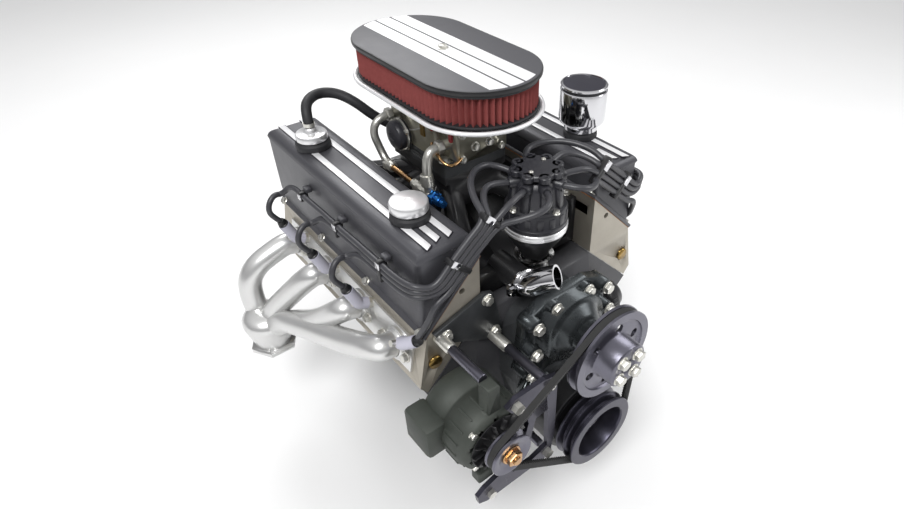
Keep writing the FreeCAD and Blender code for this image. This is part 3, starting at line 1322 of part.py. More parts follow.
def make_belt():
    """One V-belt round the crank, alternator and water-pump pulleys."""
    bite, depth = 1.2, 8.0
    circles = [
        (0, 0, crank_pulley_radius.value),
        (0, pump_height.value, pump_pulley_radius.value),
        (-alternator_out.value, alternator_height.value, alternator_pulley_radius.value),
    ]
    top_half, root_half = 5.2, 3.1

    def ring(inset):
        return hull_ring([(x, z, r - inset) for x, z, r in circles])

    def face_at(wire, offset):
        moved = wire.copy()
        moved.translate(FreeCAD.Vector(0, offset, 0))
        return moved

    outer, inner = ring(bite), ring(bite + depth)
    walls = [
        Part.makeRuledSurface(face_at(outer, -top_half), face_at(outer, top_half)),
        Part.makeRuledSurface(face_at(outer, top_half), face_at(inner, root_half)),
        Part.makeRuledSurface(face_at(inner, root_half), face_at(inner, -root_half)),
        Part.makeRuledSurface(face_at(inner, -root_half), face_at(outer, -top_half)),
    ]
    faces = [face for wall in walls for face in wall.Faces]
    shell = Part.makeShell(faces)
    shell.sewShape()
    solid = Part.makeSolid(shell)
    if solid.Volume < 0:
        solid.reverse()
    node(place(shaped(solid, "Belt"), (0, ahead(belt_plane), 0)), "drive_belt")


# ---------------------------------------------------------------- exhaust and ancillaries
COLLECTOR = (332, 381, 0)
PORT_REACH = 38
OUTLET_CIRCLE = 36.3


def header_routes(side):
    """Centre lines of the four primaries, from the flange to the collector."""
    x_end, d_end, _ = COLLECTOR
    out_x, out_z = PORT_REACH * math.cos(PORT_TILT), PORT_REACH * math.sin(PORT_TILT)
    start_x, start_z = 0.5 * math.cos(PORT_TILT), 0.5 * math.sin(PORT_TILT)
    shapes = [
        [(278, 140, 156), (298, 240, 122), (322, 340, 86), (x_end, 374, 44)],
        [(286, 244, 128), (314, 330, 84), (x_end, 372, 40)],
        [(304, 344, 118), (326, 370, 76), (x_end, 380, 36)],
        [(330, 410, 158), (341, 412, 90), (x_end + 3, 394, 38)],
    ]
    stagger = bank_stagger.value if side == 1 else 0
    result = []
    for index, shape in enumerate(shapes):
        port = first_bore.value + bore_spacing.value * index
        route = [
            (side * (PORT_X + start_x), port + stagger, PORT_Z + start_z),
            (side * (PORT_X + out_x), port + stagger + 1, PORT_Z + out_z),
        ]
        for k, (x, d, z) in enumerate(shape):
            share = max(0, 1 - (k + 1) / 4.0)
            route.append((side * x, d + stagger * share, z))
        result.append(world(route))
    return result


def make_headers():
    """Tubular headers: port flange with plug scallops, four primaries, collector, outlet flange."""
    for side in (1, -1):
        dx, _, dz = port_axis(side)
        face = [
            (side * 216.9, 226), (side * 235.3, 138),
            (side * (235.3 + 9 * abs(dx)), 138 + 9 * dz), (side * (216.9 + 9 * abs(dx)), 226 + 9 * dz),
        ]
        shift = port_shift(side)
        plate = padded(face, bore_spacing * 3 + 76, at=(0, behind(first_bore - 38) + shift, 0), name="HeaderPlate")
        scallops = []
        for index in range(4):
            y = cylinder_y(-1, index) + shift
            scallops.append(cylinder(15.5, 50, plug_seat(side, y, 10), plug_axis(side), "PlugScallop"))
        x, d, _ = COLLECTOR
        parts = [cone(33, 42, 52, (side * x, behind(d), 5), name="Collector")]
        outlet = [(44, 0), (22, 38), (-22, 38), (-44, 0), (-22, -38), (22, -38)]
        flange = padded(outlet, 9, plane="XY_Plane", at=(side * x, behind(d), 0), name="OutletFlange")
        parts.append(flange)
        for route in reversed(header_routes(side)):
            parts.append(shaped(tube(route, header_radius.value, name="Primary"), "Primary"))
        parts.append(cut(plate, scallops, "ScallopedPlate"))
        holes = [cylinder(29, 40, (side * x, behind(d), -1), "Z", "OutletBore")]
        for turn in (0, 120, 240):
            hx = OUTLET_CIRCLE * math.cos(math.radians(turn))
            hy = OUTLET_CIRCLE * math.sin(math.radians(turn))
            holes.append(cylinder(4.6, 12, (side * x + hx, behind(d) + hy, -1), "Z", "FlangeHole"))
        for index in range(4):
            y = cylinder_y(-1, index) + shift
            holes.append(cylinder(16, 24, port_start(side, y, 1), port_axis(side), "PrimaryMouth"))
        node(cut(fuse_in_turn(parts), holes, "Header"), "exhaust_header_" + side_names[side])


def make_ancillaries():
    """Fuel pump, oil filter, core plugs, filler cap, breather, crankcase valve and hose."""
    pump = [
        cylinder(20, 26, (84.3, ahead(24), cam_height + 20), "X", "PumpArm"),
        cylinder(37, 18, (106, ahead(39), cam_height + 20), "X", "PumpDisc"),
        cone(32, 24, 20, (124, ahead(39), cam_height + 20), "X", "PumpDome"),
        cylinder(6, 24, (116, ahead(72), cam_height + 20), "-Y", "PumpInlet"),
    ]
    node(fuse(pump, "FuelPump"), "fuel_pump")
    canister = [(0, 0), (36, 0), (38, 4), (38, 84), (33, 92), (0, 92)]
    node(turned(canister, filter_point(FILTER_REACH - 5.9), filter_axis(), "OilFilter"), "oil_filter")
    plugs = []
    for side in (1, -1):
        for d in CORE_PLUG_PLACES:
            axis = (side * COS45, 0, -COS45)
            plugs.append(cylinder(CORE_PLUG_RADIUS, 5, core_plug_place(side, d, 4), axis, "CorePlug"))
        plugs.append(cylinder(END_PLUG[2], 5, (side * END_PLUG[0], behind(2), END_PLUG[1]), "-Y", "EndPlug"))
    node(group(plugs, "CorePlugs"), "core_plugs")
    cap_base = cover_top + STRIPE_RISE
    collar = [(13, -14), (14.8, -14), (14.8, 0.1), (27, 0.1), (27, 8), (21, 12), (13, 12)]
    places = ((-172, 85), (-181, 360), (188, 111))
    collars = [turned(collar, (x, behind(d), cap_base), "Z", "Grommet") for x, d in places]
    node(group(collars, "CoverGrommets"), "cover_grommets")
    filler = [(0, -6), (12.6, -6), (12.6, 12.3), (24, 12.3), (26.5, 15), (26.5, 26), (25, 28), (0, 28)]
    node(turned(filler, (-172, behind(85), cap_base), "Z", "FillerCap"), "oil_filler_cap")
    valve = [(0, -6), (12.6, -6), (12.6, 12.3), (24, 12.3), (24, 22), (22, 24), (9, 24), (8, 34), (0, 34)]
    node(turned(valve, (-181, behind(360), cap_base), "Z", "CrankcaseValve"), "crankcase_valve")
    breather = [
        (0, -6), (12.6, -6), (12.6, 12.3), (27, 12.3), (27, 22), (31, 25), (34, 32), (34, 82), (30.5, 86),
        (30.5, 90), (28, 92), (0, 92),
    ]
    node(turned(breather, (188, behind(111), cap_base), "Z", "Breather"), "crankcase_breather")
    top = cap_base.value + 34.2
    hose = world([(-181, 360, top), (-180, 366, top + 20), (-168, 384, top + 31), (-140, 400, top + 32),
                  (-112, 390, top + 28), (-92, 366, top + 14), (-70, 354, top - 12), (-42, 342, top - 34),
                  (-30, 326, top - 40), (-30, 309, top - 40)])
    node(shaped(tube(hose, 8, name="PcvHose"), "PcvHose"), "pcv_hose")


make_block()
make_main_caps()
make_crankshaft()
make_camshaft()
make_timing_set()
make_timing_cover()
make_pan()
make_heads()
make_pistons()
make_head_gaskets()
make_valve_covers()
make_cover_gaskets()
make_intake()
make_carburettor()
make_air_cleaner()
make_fuel_line()
make_thermostat_housing()
make_distributor()
make_ignition()
make_water_pump()
make_damper_and_pulley()
make_alternator()
make_belt()
make_headers()
make_ancillaries()

doc.recompute()
failed = [item.Label for item in doc.Objects if "Invalid" in item.State or "Error" in item.State]
if failed:
    raise RuntimeError("failed objects: %s" % failed)
broken = [item.Label for item in nodes if item.Shape.isNull() or not item.Shape.isValid()]
if broken:
    raise RuntimeError("bad shapes: %s" % broken)

os.makedirs("parts", exist_ok=True)
for item in nodes:
    item.Shape.exportStep(os.path.join("parts", item.Label + ".step"))
print("%d nodes, tightest hose or wire bend %.1f diameters" % (len(nodes), tube_path.tightest))
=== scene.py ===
"""A dressed V8 crate engine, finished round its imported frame. Lengths are in millimetres until MM."""
import json
import math

import bmesh
import bpy
from mathutils import Matrix, Vector


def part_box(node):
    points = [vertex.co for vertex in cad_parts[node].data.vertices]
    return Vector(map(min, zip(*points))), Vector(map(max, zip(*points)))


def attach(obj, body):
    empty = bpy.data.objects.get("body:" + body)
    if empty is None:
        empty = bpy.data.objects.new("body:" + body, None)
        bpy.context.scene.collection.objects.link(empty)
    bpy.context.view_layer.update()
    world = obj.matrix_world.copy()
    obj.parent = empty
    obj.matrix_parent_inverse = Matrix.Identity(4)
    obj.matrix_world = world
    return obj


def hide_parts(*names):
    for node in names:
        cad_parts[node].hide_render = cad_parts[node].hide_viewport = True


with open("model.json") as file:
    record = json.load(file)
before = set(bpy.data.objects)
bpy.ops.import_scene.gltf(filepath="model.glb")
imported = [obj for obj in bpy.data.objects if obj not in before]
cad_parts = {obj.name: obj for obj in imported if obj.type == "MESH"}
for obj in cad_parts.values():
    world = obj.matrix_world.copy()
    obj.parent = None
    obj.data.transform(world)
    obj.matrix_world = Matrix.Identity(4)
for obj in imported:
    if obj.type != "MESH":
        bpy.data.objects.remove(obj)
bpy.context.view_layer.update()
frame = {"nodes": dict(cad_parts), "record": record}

MM = 0.001
BODIES = {node: body for body, nodes in frame["record"]["behaviour"]["bodies"].items() for node in nodes}
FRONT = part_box("oil_pan")[0].y / MM
SIDES = {"left": 1, "right": -1}
UP = (0, 0, 1)
FORWARD = (0, -1, 0)
ORIGIN = Vector((0, 0, 0))
HALF_RIGHT = math.sqrt(0.5)
FIRST_PORT = 65
BORE_SPACING = 111.25
LEFT_BANK_SETBACK = 22


def at(x, d, z):
    """A place: across, behind the block's front face, and up."""
    return Vector((x, FRONT + d, z)) * MM


def front_of(node):
    """How far behind the block's front face a node starts."""
    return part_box(node)[0].y / MM - FRONT


def centre_of(node):
    """A node's middle, across, back and up, and its half width."""
    low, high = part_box(node)
    middle = (low + high) / 2 / MM
    return middle.x, middle.y - FRONT, middle.z, (high.x - low.x) / 2 / MM


def port_behind(side, index):
    """How far back a cylinder's exhaust port sits."""
    return FIRST_PORT + BORE_SPACING * index + (LEFT_BANK_SETBACK if side == 1 else 0)


def round_about(count, first=0, radius=1):
    """Turns round a circle, each with its two offsets from the middle."""
    for index in range(count):
        turn = math.radians(first + 360 * index / count)
        yield turn, radius * math.cos(turn), radius * math.sin(turn)


# ---------------------------------------------------------------- materials
def linear(hex_text):
    """An sRGB hex value as a linear colour."""
    channels = [int(hex_text[i:i + 2], 16) / 255 for i in (1, 3, 5)]
    return [c / 12.92 if c <= 0.04045 else ((c + 0.055) / 1.055) ** 2.4 for c in channels] + [1.0]


def add(tree, kind, settings=None, links=None):
    """Add a node with its settings and its incoming links."""
    node = tree.nodes.new(kind)
    for key, value in (settings or {}).items():
        if isinstance(key, int) or key in node.inputs:
            node.inputs[key].default_value = value
        else:
            setattr(node, key, value)
    for key, source in (links or {}).items():
        tree.links.new(source, node.inputs[key])
    return node


def noise(tree, place, size, detail, roughness=0.5):
    """A cloud pattern of a size in mm."""
    settings = {"Scale": 1 / (size * MM), "Detail": detail, "Roughness": roughness}
    return add(tree, "ShaderNodeTexNoise", settings, {"Vector": place})


def bumped(tree, pattern, depth):
    """Raise the surface by a pattern, its depth in mm."""
    settings = {"Strength": 1.0, "Distance": depth * MM}
    bump = add(tree, "ShaderNodeBump", settings, {"Height": pattern.outputs["Fac"]})
    tree.links.new(bump.outputs["Normal"], tree.nodes["Principled BSDF"].inputs["Normal"])


SMEAR_SIZE = 24
# The scale at which a wave pattern's bands lie one unit apart.
BAND_SCALE = 0.314


def finish(name, colour, metallic=0.0, roughness=0.5, mottle=None, grain=None, rough_spread=0.0,
           turning=None):
    """A surface: its colour, how it is clouded (mm, second colour), and its bump (mm, depth in mm).

    turning is (axis, pitch in mm, depth in mm) for the fine rings that a lathe leaves."""
    made = bpy.data.materials.new(name)
    made.use_nodes = True
    tree = made.node_tree
    shader = tree.nodes["Principled BSDF"]
    shader.inputs["Base Color"].default_value = linear(colour)
    shader.inputs["Metallic"].default_value = metallic
    shader.inputs["Roughness"].default_value = roughness
    place = add(tree, "ShaderNodeTexCoord").outputs["Object"]
    if mottle:
        size, second = mottle
        cloud = noise(tree, place, size, 4.0, 0.6)
        mix = add(tree, "ShaderNodeMix", {"data_type": "RGBA"}, {0: cloud.outputs["Fac"]})
        mix.inputs[6].default_value = linear(colour)
        mix.inputs[7].default_value = linear(second)
        tree.links.new(mix.outputs[2], shader.inputs["Base Color"])
    if rough_spread:
        smear = noise(tree, place, SMEAR_SIZE, 5.0)
        limits = {"To Min": max(0.02, roughness - rough_spread), "To Max": roughness + rough_spread}
        spread = add(tree, "ShaderNodeMapRange", limits, {"Value": smear.outputs["Fac"]})
        tree.links.new(spread.outputs["Result"], shader.inputs["Roughness"])
    if grain:
        size, depth = grain
        bumped(tree, noise(tree, place, size, 3.0), depth)
    if turning:
        axis, pitch, depth = turning
        settings = {"wave_type": "BANDS", "bands_direction": axis, "Scale": BAND_SCALE / (pitch * MM),
                    "Distortion": 0.4}
        bumped(tree, add(tree, "ShaderNodeTexWave", settings, {"Vector": place}), depth)
    return made


# Cast iron under dark grey engine enamel: a sand-cast skin, grains about 2.5 mm drawn coarse enough to show.
enamel_iron = finish("dark_engine_enamel", "#454548", 0.0, 0.48, (60, "#3a3a3d"), (2.6, 0.16), 0.1)
# Sand-cast aluminium: warm pale grey, matt, with a fine cast skin and cloudy patches.
cast_aluminium = finish("cast_aluminium", "#b6b0a4", 0.55, 0.42, (45, "#9c968b"), (2.2, 0.12), 0.12)
# Satin charcoal powder coat: slightly metallic, its orange peel about 1.4 mm across.
powder_coat = finish("charcoal_powder_coat", "#4d4d51", 0.25, 0.42, (2.0, "#45454a"), (1.5, 0.05), 0.05)
# Satin black powder coat for the lid, its base colour raised to a grey: a painted sheen standing in for the
# strong top light on it.
lid_coat_with_painted_sheen = finish("black_coat_with_painted_sheen", "#505054", 0.1, 0.5, (2.0, "#48484c"), (1.5, 0.05), 0.05)
# Gloss black enamel over castings.
black_enamel = finish("black_enamel", "#1c1c1e", 0.0, 0.32, (40, "#262627"), (2.6, 0.1), 0.08)
# Brushed aluminium trim: almost white, soft in its reflections.
brushed_bar = finish("brushed_aluminium", "#efeff0", 0.35, 0.38, (30, "#e6e6e8"), None, 0.06)
pin_line = finish("dark_pin_line", "#2a2730", 0.2, 0.4, (3, "#1d1a24"))
dark_cast = finish("dark_sand_casting", "#4c4e50", 0.6, 0.4, (22, "#3a3c3e"), (2.4, 0.16), 0.14)
# Chrome plate: a mirror with faint smears.
chrome = finish("chrome_plate", "#d5d5d8", 1.0, 0.08, None, None, 0.05)
machined = finish("machined_aluminium", "#e6e6e7", 0.75, 0.3, None, None, 0.06, turning=("Z", 0.5, 0.01))
# Hard-anodised aluminium: a violet grey, with the lathe's rings still in it.
anodised = finish("violet_anodised", "#75747f", 0.9, 0.3, (20, "#66656f"), None, 0.08,
                  turning=("Y", 0.6, 0.01))
dark_anodised = finish("dark_anodised", "#4d4c57", 0.85, 0.3, (20, "#403f4a"), None, 0.08,
                       turning=("Y", 0.7, 0.012))
# Silver ceramic coating on mild steel tube: bright, softly clouded.
ceramic = finish("silver_ceramic_coat", "#dededd", 0.75, 0.3, (120, "#d2d2d1"), None, 0.05)
pump_cast = finish("dark_cast_aluminium", "#565a5c", 0.75, 0.28, (22, "#3c4042"), (3.0, 0.14), 0.14)
alternator_cast = finish("olive_cast_aluminium", "#454944", 0.3, 0.58, (22, "#393d38"), (1.8, 0.1), 0.1)
steel = finish("ground_steel", "#a9a9a8", 1.0, 0.28, (18, "#8d8d8c"), None, 0.1)
zinc = finish("zinc_plate", "#dcdbd6", 0.85, 0.3, (12, "#c6c4bb"), None, 0.1)
yellow_zinc = finish("yellow_zinc_tube", "#c8a468", 1.0, 0.24, (9, "#b98f77"), None, 0.08)
carb_metal = finish("dichromate_zinc_casting", "#aba89a", 0.85, 0.33, (14, "#8d8a7c"), (1.6, 0.06), 0.1)
brass = finish("pressed_brass", "#b39557", 1.0, 0.3, (10, "#8f7443"), None, 0.1)
blue_anodised = finish("blue_anodised", "#2f6fb4", 0.9, 0.22, (8, "#245c9c"), None, 0.06)
red_plastic = finish("red_moulding", "#a8262a", 0.0, 0.35, (6, "#8f1d22"))
black_rubber = finish("black_rubber", "#26262a", 0.0, 0.6, (5, "#1e1e20"), (1.4, 0.04), 0.08)
belt_rubber = finish("belt_rubber", "#2c2c2c", 0.0, 0.72, (4, "#222222"), (1.2, 0.05), 0.08)
silicone = finish("silicone_jacket", "#3f3f43", 0.0, 0.36, (9, "#37373b"), (1.2, 0.015), 0.06)
lilac_boot = finish("lilac_sleeve", "#c0bfcb", 0.0, 0.45, (14, "#b3b2c0"), None, 0.06)
moulded_black = finish("moulded_black_cap", "#2c2c31", 0.0, 0.34, (12, "#25252a"), (1.6, 0.03), 0.08)
nylon = finish("black_nylon", "#1b1b1d", 0.0, 0.4, (5, "#141416"), None, 0.06)
cork = finish("cork_gasket", "#9a6537", 0.0, 0.85, (3, "#7b4e2b"), (1.6, 0.1))
# Oiled cotton gauze: brick red, darker in the folds, its weave drawn at 1.2 mm.
cotton = finish("oiled_cotton", "#8f4845", 0.0, 0.85, (7, "#7a3836"), (1.2, 0.12))

# What the CAD's own pieces wear where nothing stands for them; the rest of them are ground steel.
NODE_FINISH = {
    "air_cleaner_stud": zinc, "bracket_bolts": zinc, "choke_plate": brass, "main_bearing_caps": enamel_iron,
    "pistons": cast_aluminium, "primary_throttle": zinc, "secondary_throttle": zinc, "spark_plugs": zinc,
    "valve_cover_gaskets": cork,
}

# The castings that are shown as they are modelled.
CASTINGS = {
    "cylinder_block": enamel_iron, "cylinder_head_left": cast_aluminium,
    "cylinder_head_right": cast_aluminium, "intake_manifold": black_enamel, "timing_cover": dark_cast,
    "water_pump_housing": pump_cast, "oil_pan": black_enamel, "thermostat_housing": chrome,
    "fuel_pump": black_enamel, "oil_filter": black_enamel, "alternator_bracket": dark_anodised,
    "core_plugs": brass,
}


# ---------------------------------------------------------------- making pieces
def settle(obj, name, made_of, node, replaces=True, sharp=34):
    """Name a finished piece, give it its material, and let it ride with its node's body."""
    obj.name = name
    if obj.type == "MESH":
        for polygon in obj.data.polygons:
            polygon.use_smooth = True
        obj.data.set_sharp_from_angle(angle=math.radians(sharp))
    obj.data.materials.clear()
    obj.data.materials.append(made_of)
    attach(obj, BODIES[node])
    if replaces:
        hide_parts(node)


def to_object(bm, name="piece"):
    """A bmesh as an object in the scene."""
    mesh = bpy.data.meshes.new(name)
    bm.to_mesh(mesh)
    bm.free()
    obj = bpy.data.objects.new(name, mesh)
    bpy.context.scene.collection.objects.link(obj)
    return obj


def turned_to(axis, place):
    """The matrix that carries +Z onto an axis and the origin to a place."""
    turn = Vector(UP).rotation_difference(Vector(axis))
    return Matrix.Translation(place) @ turn.to_matrix().to_4x4()


def spun(profile, place, axis=UP, steps=96, closed=True):
    """A lathe shape from (radius, height) points; a closed profile makes a ring."""
    bm = bmesh.new()
    verts = [bm.verts.new((r * MM, 0, h * MM)) for r, h in profile]
    edges = [bm.edges.new(pair) for pair in zip(verts, verts[1:])]
    if closed:
        edges.append(bm.edges.new((verts[-1], verts[0])))
    bmesh.ops.spin(bm, geom=verts + edges, cent=(0, 0, 0), axis=UP, steps=steps, angle=2 * math.pi,
                   use_merge=True)
    bmesh.ops.remove_doubles(bm, verts=bm.verts, dist=1e-6)
    loose = [edge for edge in bm.edges if not edge.link_faces]
    bmesh.ops.delete(bm, geom=loose, context="EDGES")
    bmesh.ops.recalc_face_normals(bm, faces=bm.faces)
    bm.transform(turned_to(axis, place))
    return bm


def prism(outline, low, high, axis="Y"):
    """An outline pushed along an axis; for Y the outline is (x, z), for Z it is (x, d)."""
    bm = bmesh.new()
    if axis == "Y":
        verts = [bm.verts.new(at(x, low, z)) for x, z in outline]
        push = Vector((0, (high - low) * MM, 0))
    else:
        verts = [bm.verts.new(at(x, d, low)) for x, d in outline]
        push = Vector((0, 0, (high - low) * MM))
    face = bm.faces.new(verts)
    made = bmesh.ops.extrude_face_region(bm, geom=[face])["geom"]
    bmesh.ops.translate(bm, vec=push, verts=[item for item in made if isinstance(item, bmesh.types.BMVert)])
    bmesh.ops.recalc_face_normals(bm, faces=bm.faces)
    return bm


def turned(profile, place, axis=UP, steps=96):
    """A solid lathe shape, its profile open at the axis."""
    return spun(profile, place, axis, steps, False)


def bevelled(bm, width, wanted=None, segments=2, angle=25):
    """Round the edges that turn by more than an angle."""
    picked = [edge for edge in bm.edges if len(edge.link_faces) == 2
              and edge.calc_face_angle() > math.radians(angle) and (wanted is None or wanted(edge))]
    bmesh.ops.bevel(bm, geom=picked, offset=width * MM, segments=segments, affect="EDGES", profile=0.5,
                    material=-1, clamp_overlap=True)
    return bm


def together(parts):
    """Several bmeshes as one."""
    whole = bmesh.new()
    for part in parts:
        mesh = bpy.data.meshes.new("part")
        part.to_mesh(mesh)
        part.free()
        whole.from_mesh(mesh)
        bpy.data.meshes.remove(mesh)
    return whole


def piece(shape, name, made_of, node, replaces=True, sharp=34):
    """A finished piece that stands for its node, from one bmesh or a list of them."""
    whole = together(shape) if isinstance(shape, list) else shape
    settle(to_object(whole), name, made_of, node, replaces, sharp)


def fitted(shape, name, made_of, node):
    """A small piece that sits on its node and doesn't stand for it."""
    piece(shape, name, made_of, node, replaces=False)


def block(middle, size, axis=UP, width=0.8):
    """A small bevelled box about its middle, its height along an axis."""
    bm = bmesh.new()
    bmesh.ops.create_cube(bm, size=1.0)
    bmesh.ops.scale(bm, vec=Vector(size) * MM, verts=bm.verts)
    bevelled(bm, width)
    bm.transform(turned_to(axis, middle))
    return bm


def bolt(middle, axis, across=12, height=7, washer=True):
    """A hexagon bolt head with a chamfered top, on its washer."""
    bm = bmesh.new()
    bmesh.ops.create_cone(bm, cap_ends=True, segments=6, radius1=across * 0.577 * MM,
                          radius2=across * 0.577 * MM, depth=height * MM)
    bmesh.ops.translate(bm, vec=(0, 0, height / 2 * MM), verts=bm.verts)
    bevelled(bm, across * 0.06, lambda edge: all(v.co.z > height * 0.9 * MM for v in edge.verts))
    bm.transform(turned_to(axis, middle))
    if not washer:
        return bm
    radius = across * 0.72
    ring = spun([(0, -0.6), (radius, -0.6), (radius, 0.6), (radius - 0.8, 1.4), (0, 1.4)], middle, axis, 24,
                False)
    return together([bm, ring])


def path_curve(name, points, radius, order=3, resolution=8, sides=6):
    """A smooth round cord along a NURBS route."""
    curve = bpy.data.curves.new(name, "CURVE")
    curve.dimensions = "3D"
    spline = curve.splines.new("NURBS")
    spline.points.add(len(points) - 1)
    for point, place in zip(spline.points, points):
        point.co = (*place, 1.0)
    spline.order_u = order
    spline.use_endpoint_u = True
    spline.resolution_u = resolution
    curve.bevel_depth = radius * MM
    curve.bevel_resolution = sides
    curve.use_fill_caps = True
    obj = bpy.data.objects.new(name, curve)
    bpy.context.scene.collection.objects.link(obj)
    return obj


def cord(name, points, radius, made_of, node, replaces=True, **shape):
    """A finished round cord or tube along a route."""
    settle(path_curve(name, points, radius, **shape), name, made_of, node, replaces)


def cad_mesh(node):
    """A CAD node's mesh with its doubled points merged."""
    bm = bmesh.new()
    bm.from_mesh(frame["nodes"][node].data)
    bmesh.ops.remove_doubles(bm, verts=bm.verts, dist=2e-6)
    return bm


def finished_copy(node, made_of, name=None, sharp=32):
    """A copy of a CAD node with smooth faces, standing for it."""
    piece(cad_mesh(node), name or node + "_finished", made_of, node, sharp=sharp)


def slice_of(node, low, high):
    """The part of a CAD node between two heights."""
    bm = cad_mesh(node)
    for height, keep in ((low, -1), (high, 1)):
        bmesh.ops.bisect_plane(bm, geom=bm.verts[:] + bm.edges[:] + bm.faces[:], plane_co=(0, 0, height * MM),
                               plane_no=(0, 0, keep), clear_outer=True)
    return bm


# ---------------------------------------------------------------- air cleaner
def oval(profile, base_z, reach, steps=128):
    """A lathe shape about the air cleaner's middle, pulled out along Y into a stadium."""
    bm = spun(profile, Vector((0, 0, base_z * MM)), steps=steps)
    bmesh.ops.rotate(bm, cent=(0, 0, 0), matrix=Matrix.Rotation(math.pi / steps, 3, "Z"), verts=bm.verts)
    for sign in (-1, 1):
        half = [v for v in bm.verts if v.co.y * sign > 0]
        bmesh.ops.translate(bm, vec=(0, sign * reach * MM, 0), verts=half)
    bmesh.ops.translate(bm, vec=(0, at(0, AIR_CENTRE, 0).y, 0), verts=bm.verts)
    return bm


lid_low, lid_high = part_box("air_cleaner_lid")
AIR_CENTRE = centre_of("air_cleaner_lid")[1]
LID_HALF = lid_high.x / MM
LID_REACH = (lid_high.y - lid_low.y) / 2 / MM - LID_HALF
LID_TOP = lid_high.z / MM
STRIPE_GAP = 14.1
STRIPE_EDGE = 41.2
PIN_GAP = 1.9


def air_cleaner_lid():
    """Flat pressed lid with a rounded black edge, three brushed stripes and a nut."""
    r, low = LID_HALF, lid_low.z / MM
    thick = LID_TOP - low
    profile = [(0, 0), (r - 4, 0), (r - 1.2, 0.8), (r, 2.6), (r, thick - 2.8), (r - 0.9, thick - 1.0),
               (r - 3, thick - 0.2), (0, thick - 0.2)]
    # The pressing wears the lid coat, whose grey is painted sheen over satin black.
    piece(oval(profile, low, LID_REACH), "lid_pressing", lid_coat_with_painted_sheen, "air_cleaner_lid")
    rim = [(r - 3.2, -0.6), (r + 0.3, 0.2), (r + 0.8, 2.0), (r + 0.8, thick - 3.0), (r + 0.2, thick - 1.2),
           (r - 2.2, thick - 1.2), (r - 2.2, 1.2)]
    piece(oval(rim, low, LID_REACH), "lid_edge", nylon, "air_cleaner_lid")
    for name, x0, x1 in (("lid_stripe_right", -STRIPE_EDGE, -STRIPE_GAP - PIN_GAP),
                         ("lid_stripe_middle", -STRIPE_GAP + PIN_GAP, STRIPE_GAP - PIN_GAP),
                         ("lid_stripe_left", STRIPE_GAP + PIN_GAP, STRIPE_EDGE),
                         ("lid_pin_lines", -STRIPE_EDGE - 1.6, STRIPE_EDGE + 1.6)):
        under = "pin" in name
        low_z = LID_TOP - (1.5 if under else 1.0)
        plate = oval([(0, 0), (r - 4.4, 0), (r - 4.4, 0.9), (r - 4.8, 1.2), (0, 1.2)], low_z, LID_REACH)
        for x, keep in ((x0, 1), (x1, -1)):
            cut = bmesh.ops.bisect_plane(plate, geom=plate.verts[:] + plate.edges[:] + plate.faces[:],
                                         plane_co=(x * MM, 0, 0), plane_no=(keep, 0, 0), clear_inner=True)
            rim_edges = [item for item in cut["geom_cut"] if isinstance(item, bmesh.types.BMEdge)]
            bmesh.ops.contextual_create(plate, geom=rim_edges)
        piece(plate, name, pin_line if under else brushed_bar, "air_cleaner_lid")
    fitted([turned([(0, 0), (9, 0), (9, 1.4), (7.6, 2.0), (0, 2.0)], at(0, AIR_CENTRE, LID_TOP), steps=48),
            bolt(at(0, AIR_CENTRE, LID_TOP + 1.8), UP, 10, 3.4, washer=False)],
           "lid_nut", zinc, "air_cleaner_stud")


def air_filter():
    """Pleated gauze between two moulded seals."""
    low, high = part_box("air_filter_element")
    half, reach = high.x / MM, (high.y - low.y) / 2 / MM - high.x / MM
    base, top = low.z / MM + 4, high.z / MM - 4
    pitch, depth = 10.0, 12.0
    straight, bend = 4 * reach, 2 * math.pi * half
    count = 2 * round((straight + bend) / pitch)
    bm = bmesh.new()
    loop = [stadium_point((straight + bend) * index / count, half, reach, depth if index % 2 else 0)
            for index in range(count)]
    rings = [[bm.verts.new(at(x, AIR_CENTRE + y, z)) for x, y in loop] for z in (base, top)]
    for ring in rings:
        for first, second in zip(ring, ring[1:] + ring[:1]):
            bm.edges.new((first, second))
    bmesh.ops.bridge_loops(bm, edges=bm.edges[:])
    for ring in rings:
        bm.faces.new(ring)
    bmesh.ops.recalc_face_normals(bm, faces=bm.faces)
    ridges = [edge for edge in bm.edges if abs(edge.verts[0].co.z - edge.verts[1].co.z) > 10 * MM]
    bmesh.ops.bevel(bm, geom=ridges, offset=1.0 * MM, segments=2, affect="EDGES", profile=0.5, material=-1)
    piece(bm, "filter_pleats", cotton, "air_filter_element", sharp=60)
    for name, z0, z1 in (("filter_seal_low", low.z / MM, base + 0.4),
                         ("filter_seal_high", top - 0.4, high.z / MM)):
        seal = [(half - 30, 0), (half + 1.0, 0), (half + 1.6, 1.2), (half + 1.6, z1 - z0 - 1.2),
                (half + 1.0, z1 - z0), (half - 30, z1 - z0)]
        piece(oval(seal, z0, reach), name, black_rubber, "air_filter_element")


def stadium_point(walk, half, reach, inset):
    """The point so far round a stadium, moved in by an inset; x across, y along."""
    quarter, bend = 2 * reach, math.pi * half
    side, rest = (1, walk) if walk < quarter + bend else (-1, walk - quarter - bend)
    if rest < quarter:
        return side * (half - inset), side * (rest - reach)
    turn = (rest - quarter) / half
    return side * (half - inset) * math.cos(turn), side * (reach + (half - inset) * math.sin(turn))


PAN_MOUTH = 60.3
ROLL = 3.3


